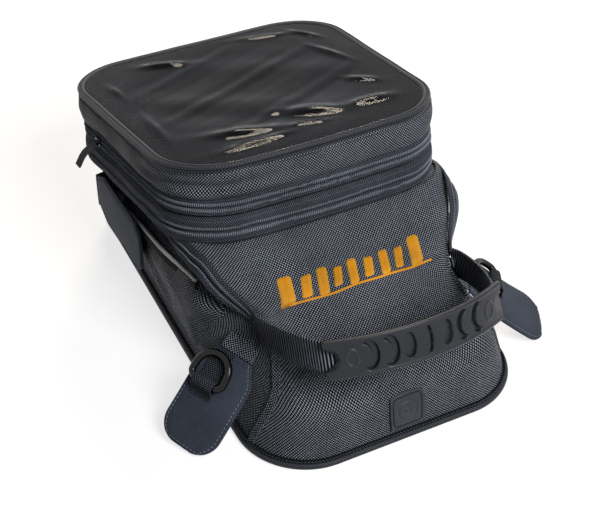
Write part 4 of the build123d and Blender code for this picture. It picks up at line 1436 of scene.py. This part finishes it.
@dataclass
class Handle:
    """Webbing carry handle with a moulded grip."""

    reach: float = 89.0
    bow: float = 18.0
    width: float = 25.0
    grip_high: float = 30.0

    def __post_init__(self) -> None:
        """Work out the handle's own directions."""
        rise = math.radians(20)
        self.origin = vec(0, -104, 80)
        self.up = vec(0, math.sin(rise), math.cos(rise))
        self.ahead = vec(0, -math.cos(rise), math.sin(rise))

    def at(self, x: Array, forward: Array) -> Array:
        """Row-frame points from across and forward distances."""
        return self.origin + np.asarray(x)[..., None] * vec(1, 0, 0) + np.asarray(forward)[...,
            None] * self.ahead

    def webbing(self) -> None:
        """Ribbed strap from one side wall round to the other."""
        plan = [(-87, 2), (-88, 16), (-84.5, 42), (-77, 70), (-68, 88.5), (-48, 98.6), (-24, 105),
            (0, 107),
                (24, 105), (48, 98.6), (68, 88.5), (77, 70), (84.5, 42), (88, 16), (87, 2)]
        line = spline(plan, 960)
        path = self.at(line[:, 0], line[:, 1])
        run = np.concatenate([[0], np.cumsum(np.linalg.norm(np.diff(path, axis=0), axis=1))])
        rib = 1 + 0.3 * np.abs(np.sin(np.pi * run / 2.8))
        heading = tangents(path)
        out = unit(np.cross(self.up, heading))
        out = out * np.sign(np.sum(out * self.ahead, -1).mean())
        base = slab_section(self.width, 1.9, 24)
        across = np.cross(out, heading)
        grid = path[:, None] + base[None, :, :1] * across[:, None] + base[None, :, 1:] * rib[:,
            None, None] * out[:, None]
        strap = sheet_mesh("handle_strap", grid, closed_u=True)
        cap_ends(strap, len(path), 24)
        place_piece(strap, "handle", "webbing", ["handle_webbing"])
        edge_rows = [path + across * k + out * 1.25 for k in (-10.2, 10.2)]
        ThreadRow(3.2, 2.2, 0.3).build("handle_strap_stitch", edge_rows, "handle")

    def recess(self, u: Array, w: Array) -> Array:
        """Depth of the grip's openings and reliefs at a place along and across it."""

        def oval(cx: float, a: float, b: float) -> Array:
            return ease((1.08 - np.hypot((u - cx) / a, w / b)) / 0.16)

        depth = np.zeros(np.shape(u))
        for s in (-1, 1):
            depth = np.maximum(depth, oval(s * 15, 4.6, 9.6))
            for c in (29.5, 44.0):
                moon = oval(s * c, 6.6, 11.2) * (1 - oval(s * (c + 3.8), 6.0, 9.4))
                depth = np.maximum(depth, moon)
        slit = oval(0.0, 2.8, 10.4) * (1 - oval(-2.2, 2.6, 9.6))
        depth = np.maximum(depth, slit) * 4.0
        for s in (-1, 1):
            ringed = np.hypot((u - s * 56.5) / 4.8, w / 7.0)
            depth = depth - 0.8 * bump(ringed, 0.9, 0.16)
        depth = depth - 0.9 * ease((np.abs(w) - 11.6) / 2.4) * (np.abs(w) < 15.5)
        return depth

    def grip(self) -> None:
        """Moulded grip with fishtail ends, raised edges and a row of openings."""
        cols, rows = 54, 300
        half = self.grip_high / 2
        u = np.linspace(-1, 1, rows)
        radius = (70**2 + self.bow**2) / (2 * self.bow)
        centre = self.reach + self.bow - radius
        w_out = np.linspace(-half, half, cols)
        w_in = np.linspace(half, -half, 12)
        grid = []
        for uu in u:
            ring = []
            for surface, ws in (("out", w_out), ("in", w_in)):
                notch = 10.5 * np.sqrt(np.clip(1 - (ws / 9.0) ** 2, 0, 1)) * ease(
                    vec((abs(uu) - 0.8) / 0.2))[0]
                arc = uu * (75.5 - notch)
                edge = 1.2 * (np.abs(ws) / half) ** 10
                if surface == "out":
                    lift = 1.4 + 3.4 - self.recess(arc, ws) - edge
                    lift = lift - 1.2 * ease(vec((abs(uu) - 0.975) / 0.025))[0]
                else:
                    lift = np.full(len(ws), 1.35)
                angle = arc / radius
                x = (radius + lift) * np.sin(angle)
                f = centre + (radius + lift) * np.cos(angle)
                ring.append(self.at(x, f) + ws[:, None] * self.up)
            grid.append(np.vstack(ring))
        grid = np.array(grid)
        body = sheet_mesh("handle_grip_moulding", grid, closed_u=True)
        cap_ends(body, rows, cols + 12)
        body.data.shade_smooth()
        place_piece(body, "handle", "grip_rubber", ["handle_grip"])

    def tucks(self) -> None:
        """Folded webbing that anchors the strap in each corner seam."""
        for label, sign in (("left", -1), ("right", 1)):
            a = np.linspace(0, 1, 14)
            path = self.at(sign * (89.2 - 13 * a), 3.5 - 3 * a)
            tuck = sweep("handle_tuck_" + label, path, slab_section(9.0, 8.0, 20, 0.7), self.up)
            place_piece(tuck, "tub", "webbing", ["handle_anchor_" + label])

    def build(self) -> None:
        """Build and dress every piece of the handle."""
        self.webbing()
        self.grip()
        self.tucks()


@dataclass
class Flap:
    """A padded leatherette flap with stitching round its edge, in place of the cover, backing and
    magnet nodes.
    """

    name: str
    body: str
    root: Array
    across: Array
    down: Array
    normal: Array
    length: float
    nodes: Sequence[str]
    curl: float = 0.0
    root_half: float = 17.0
    half: float = 26.0
    thick: float = 3.4

    def half_at(self, s: Array) -> Array:
        """Half-width at a distance from the root."""
        grow = self.root_half + (self.half - self.root_half) * ease(s / 20)
        r = 19.0
        end = np.sqrt(np.clip(r * r - np.clip(s - (self.length - r), 0, r) ** 2, 0, None))
        return np.minimum(grow, self.half - r + end)

    def point(self, a: Array, s: Array, lift: Array) -> Array:
        """Row-frame point of flap coordinates, with the sheet's own curl."""
        a, s, lift = np.broadcast_arrays(np.asarray(a, float), np.asarray(s, float),
            np.asarray(lift, float))
        share = s / self.length
        wave = 0.9 * np.sin(2.6 * share + 0.5) - 0.9 * np.sin(0.5)
        wave = wave + self.curl * np.clip((s - 34) / (self.length - 34), 0,
            1) ** 2 * (1 + 0.012 * a)
        wave = wave - 0.9 * (a / self.half) ** 2 * np.sin(np.pi * share)
        return (self.root + a[..., None] * self.across + s[..., None] * self.down
                + (lift + wave)[..., None] * self.normal)

    def leaf(self) -> Obj:
        """The flap's closed body."""
        s = np.concatenate([np.linspace(0.8, self.length - 19, 26),
            self.length - 19 + 18.9 * np.sin(np.linspace(0.1, np.pi / 2, 20))])
        theta = np.linspace(0, 2 * np.pi, 56, endpoint=False)
        c, n = np.cos(theta), np.sin(theta)
        grid = []
        for ss in s:
            half = float(self.half_at(vec(ss))[0])
            a = half * np.sign(c) * np.abs(c) ** 0.55
            shape = np.sign(n) * np.abs(n) ** 0.35
            seam = 0.6 * bump(np.abs(a), half - 2.6, 1.0) if half > 6 else 0.0
            thin = 1 - 0.5 * ease(vec((ss - self.length + 3) / 3))[0]
            lift = -0.7 + (self.thick / 2 * thin) * shape - seam * np.sign(n)
            grid.append(self.point(a, np.full(len(a), ss), lift))
        grid = np.array(grid)
        obj = sheet_mesh(self.name + "_leaf", grid, closed_u=True)
        cap_ends(obj, len(s), 56)
        return obj

    def stitch_line(self, inset: float) -> Array:
        """Line that follows the flap's edge."""
        s = np.linspace(3, self.length - inset, 60)
        right = [(float(self.half_at(vec(k))[0]) - inset, k) for k in s]
        right = [(max(a, 0.0), k) for a, k in right]
        line = spline(right + [(-a, k) for a, k in reversed(right)], 240)
        return self.point(line[:, 0], line[:, 1], self.thick / 2 - 0.95)

    def build(self) -> None:
        leaf = self.leaf()
        place_piece(leaf, self.body, "leatherette", self.nodes)
        ThreadRow(3.4, 2.3, 0.3).build(self.name + "_stitch", [self.stitch_line(2.6)], self.body,
            thread=STITCH_THREAD)


@dataclass
class FlapSet:
    """The front flap with its D-ring, and the rear flap, on one side."""

    side: str

    def mirror(self, v: Array) -> Array:
        """Mirror a left-hand vector for the right-hand side."""
        return np.asarray(v, float) * (vec(1, 1, 1) if self.side == "left" else vec(-1, 1, 1))

    def build(self) -> None:
        """Build both flaps, their anchors and the ring."""
        across = unit(vec(-0.428, 0.898, 0.102))
        normal = vec(-0.57, -0.356, 0.74)
        normal = unit(normal - across * np.dot(across, normal))
        down = np.cross(normal, across)
        self.root = self.mirror(vec(-104, -104, 58.5))
        self.across, self.normal, self.down = self.mirror(across), self.mirror(
            normal), self.mirror(down)
        side = self.side
        Flap("front_flap_" + side, "front_flap_" + side, self.root, self.across, self.down,
            self.normal,
             82.0 if side == "left" else 90.0,
             ["front_flap_cover_" + side, "front_flap_backing_" + side,
             "front_flap_magnets_" + side],
             curl=1.0 if side == "left" else 3.0).build()
        self.ring()
        self.loop()
        self.anchor()
        rear_root = self.mirror(vec(-124.2, 137, 60))
        Flap("rear_flap_" + side, "rear_flap_" + side, rear_root, vec(0, 0, -1), vec(0, -1, 0),
             self.mirror(vec(-1, 0, 0)), 98.0,
             ["rear_flap_cover_" + side, "rear_flap_backing_" + side,
             "rear_flap_magnets_" + side]).build()
        x = np.linspace(0, 1, 10)
        start, end = self.mirror(vec(-107.5, 142.5, 60)), self.mirror(vec(-124.6, 139.4, 60))
        tab = sweep("rear_flap_tab_" + side, start + (end - start) * x[:, None],
            slab_section(33, 3.2), (0, 1, 0.0))
        place_piece(tab, "tub", "webbing", ["rear_flap_anchor_" + side])

    def local(self, a: Array, s: Array, lift: Array) -> Array:
        """Row-frame point in the front flap's own directions."""
        a, s, lift = np.broadcast_arrays(np.asarray(a, float), np.asarray(s, float),
            np.asarray(lift, float))
        return self.root + a[..., None] * self.across + s[..., None] * self.down + lift[...,
            None] * self.normal

    def ring(self) -> None:
        """Moulded D-ring of round section."""
        half, straight, wire = 14.6, 9.6, 2.9
        points = [(-9.5, 0), (-4, 0), (4, 0), (9.5, 0), (12.4, 0.9), (half, 3.8), (half, straight)]
        for k in range(1, 8):
            t = np.pi * k / 8
            points.append((half * math.cos(t), straight + 14.6 * math.sin(t)))
        points += [(-half, straight), (-half, 3.8), (-12.4, 0.9)]
        line = spline(points, 150, closed=True)
        path = self.local(8 + line[:, 0], 30 - line[:, 1], np.full(150, 5.85))
        ring = sweep("d_ring_moulding_" + self.side, path, round_section(wire, 20), self.normal,
            closed=True)
        place_piece(outward_faces(ring), "d_ring_" + self.side, "gloss_plastic",
            ["d_ring_" + self.side])

    def loop(self) -> None:
        """Ribbed webbing loop that holds the ring's bar to the flap."""
        plan = [(43, 0.9), (39.6, 1.9), (36.6, 5.2), (34.2, 8.6), (30.6, 9.9), (26.9, 8.0),
            (26.0, 4.8), (28.2, 2.0), (33, 1.2), (41, 0.9)]
        line = spline(plan, 150)
        path = self.local(np.full(150, 8.0), line[:, 0], line[:, 1])
        heading = tangents(path)
        out = np.cross(heading, self.across)
        # fine webbing: pale painted highlight on the rib tops, painted shade between them
        fine = Finish("fine polyester webbing", "#6f7683", "#0c0d10", Pattern.TAPE, 1.0, 0.4, 0.55)
        strap = sweep("ring_loop_" + self.side, path, slab_section(20.0, 1.1, 20), out)
        flat = self.local(np.full(30, 8.0), np.linspace(1.0, 26.0, 30), 1.35)
        under = sweep("ring_patch_" + self.side, flat, slab_section(19.0, 1.2, 20), self.normal)
        place_piece(under, "front_flap_" + self.side, "webbing", key="fine webbing", finish=fine)
        place_piece(strap, "front_flap_" + self.side, "webbing", ["d_ring_loop_" + self.side],
                    key="fine webbing", finish=fine)

    def anchor(self) -> None:
        """Folded webbing that joins the front flap's root to the wall."""
        s = np.linspace(-13, 0.2, 16)
        path = self.local(np.zeros(16), s, -1.1 - 0.015 * s**2)
        fold = sweep("front_flap_tab_" + self.side, path, slab_section(30.0, 3.0), self.normal)
        place_piece(fold, "tub", "ballistic_nylon", ["front_flap_anchor_" + self.side])


@dataclass
class Hardware:
    """Zip sliders kept from the frame, and the strap puller of the main zip."""

    def build(self) -> None:
        """Dress the kept nodes and build the strap."""
        kept = {"slider_metal": ["main_zip_slider", "expansion_zip_slider",
            "pocket_zip_slider_left", "pocket_zip_slider_right"],
                "puller_rubber": ["expansion_zip_puller", "pocket_zip_puller_left",
                "pocket_zip_puller_right"],
                "board": ["base_board"]}
        for slot_name, names in kept.items():
            for name in names:
                obj = frame["nodes"][name]
                for slot in obj.material_slots:
                    slot.material = PAINTS.get(slot_name)
        lo, hi = (np.array(v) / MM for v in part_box("main_zip_puller"))
        start, end = vec(hi[0] - 0.9, lo[1] + 1.2, hi[2] - 1.2), vec(lo[0] + 1.2, hi[1] - 1.4,
            lo[2] + 2.4)
        middle = (start + end) / 2 + vec(-1.6, 1.0, 1.6)
        path = spline([start, middle, end], 120)
        strap = sweep("main_strap_puller", path, slab_section(6.0, 1.5, 16), (-0.91, -0.41, 0.0))
        place_piece(strap, "main_puller", "webbing", ["main_zip_puller"])


# ------------------------------------------------------------------ room, lights and camera
FLOOR_REACH = 4000.0  # half the floor's width, in mm
FLOOR_GLOW = 0.76  # glow of the floor where it is looked at
ROOM_LIGHT = 0.035  # light of the room on the object
CAMERA_PLACE, CAMERA_AIM = Vector((-0.4021, -0.785, 0.7618)), Vector((-0.056, -0.1075, 0.1336))
CAMERA_ROLL = math.radians(0.3)
LENS_MM, SENSOR_MM = 81.8, 36.0


class Studio:
    """Pale floor and world, soft lamps, and the camera."""

    def plain(self, name: str) -> bpy.types.Material:
        """Floor that looks white from the camera and in reflections but keeps the object's shadow."""
        mat = bpy.data.materials.new(name)
        mat.use_nodes = True
        tree = mat.node_tree
        tree.nodes.clear()
        seen = self.seen(tree)
        paper = add_node(tree, "ShaderNodeMix", {
            "Factor": seen, "A": linear("#6a6a6a"), "B": linear("#bcbcbc")}, data_type="RGBA")
        cloth = add_node(tree, "ShaderNodeBsdfDiffuse", {"Color": paper.outputs["Result"]})
        lift = add_node(tree, "ShaderNodeMath", {0: seen, 1: FLOOR_GLOW}, operation="MULTIPLY")
        glow = add_node(tree, "ShaderNodeEmission", {"Strength": lift.outputs[0]})
        both = add_node(tree, "ShaderNodeAddShader", {0: cloth.outputs[0], 1: glow.outputs[0]})
        out = add_node(tree, "ShaderNodeOutputMaterial")
        tree.links.new(both.outputs[0], out.inputs["Surface"])
        return mat

    def seen(self, tree: Tree) -> Socket:
        """One where the backdrop is looked at, mirrored or seen through something clear."""
        path = add_node(tree, "ShaderNodeLightPath")
        mirrored = add_node(tree, "ShaderNodeMath", {
            0: path.outputs["Is Camera Ray"], 1: path.outputs["Is Glossy Ray"]},
            operation="MAXIMUM")
        through = add_node(tree, "ShaderNodeMath", {
            0: mirrored.outputs[0], 1: path.outputs["Is Transmission Ray"]}, operation="MAXIMUM")
        return through.outputs[0]

    def lamp(self, name: str, place: tuple, size: float, power: float,
            colour: str = "#ffffff") -> None:
        """Square soft lamp aimed at the bag."""
        data = bpy.data.lights.new(name, "AREA")
        data.shape, data.size, data.energy = "SQUARE", size, power
        data.color = linear(colour)[:3]
        obj = bpy.data.objects.new(name, data)
        obj.location = place
        aim = Vector((0, 0, 0.08)) - Vector(place)
        obj.rotation_euler = aim.to_track_quat("-Z", "Y").to_euler()
        bpy.context.scene.collection.objects.link(obj)

    def build(self) -> None:
        """Set up the room."""
        scene = bpy.context.scene
        scene.view_settings.view_transform = "Standard"
        world = bpy.data.worlds.new("room")
        scene.world = world
        world.use_nodes = True
        tree = world.node_tree
        tree.nodes.clear()
        soft = add_node(tree, "ShaderNodeBackground",
            {"Color": linear("#ffffff"), "Strength": ROOM_LIGHT})
        white = add_node(tree, "ShaderNodeBackground",
            {"Color": linear("#ffffff"), "Strength": 1.0})
        mixed = add_node(tree, "ShaderNodeMixShader",
            {0: self.seen(tree), 1: soft.outputs[0], 2: white.outputs[0]})
        out = add_node(tree, "ShaderNodeOutputWorld")
        tree.links.new(mixed.outputs[0], out.inputs["Surface"])
        corners = ((-1, -1), (1, -1), (1, 1), (-1, 1))
        verts = np.array([(x * FLOOR_REACH, y * FLOOR_REACH, -0.1) for x, y in corners])
        floor = new_object("floor", verts, [(0, 1, 2, 3)])
        floor.data.materials.append(self.plain("matt white paper"))
        self.lamp("key", (0.62, 1.25, 1.12), 0.46, 13.0, "#fff0da")
        self.lamp("fill", (0.3, -1.5, 1.5), 0.9, 28.0)
        self.camera()

    def camera(self) -> None:
        """Camera in front of the left corner, above the bag."""
        data = bpy.data.cameras.new("camera")
        data.lens, data.sensor_width = LENS_MM, SENSOR_MM
        data.clip_end = 50
        obj = bpy.data.objects.new("camera", data)
        turn = (CAMERA_AIM - CAMERA_PLACE).to_track_quat("-Z", "Y").to_matrix().to_4x4()
        obj.matrix_world = Matrix.Translation(CAMERA_PLACE) @ turn @ Matrix.Rotation(CAMERA_ROLL,
            4, "Z")
        bpy.context.scene.collection.objects.link(obj)
        bpy.context.scene.camera = obj


def main() -> None:
    """Build the bag piece by piece, and the room round it."""
    logging.basicConfig(level=logging.INFO, format="%(message)s")
    Studio().build()
    Tub().build()
    Collar().build()
    Lid().build()
    for side in ("left", "right"):
        SidePocket(side).build()
        FlapSet(side).build()
    Handle().build()
    Hardware().build()
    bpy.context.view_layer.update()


if __name__ == "__main__":
    main()
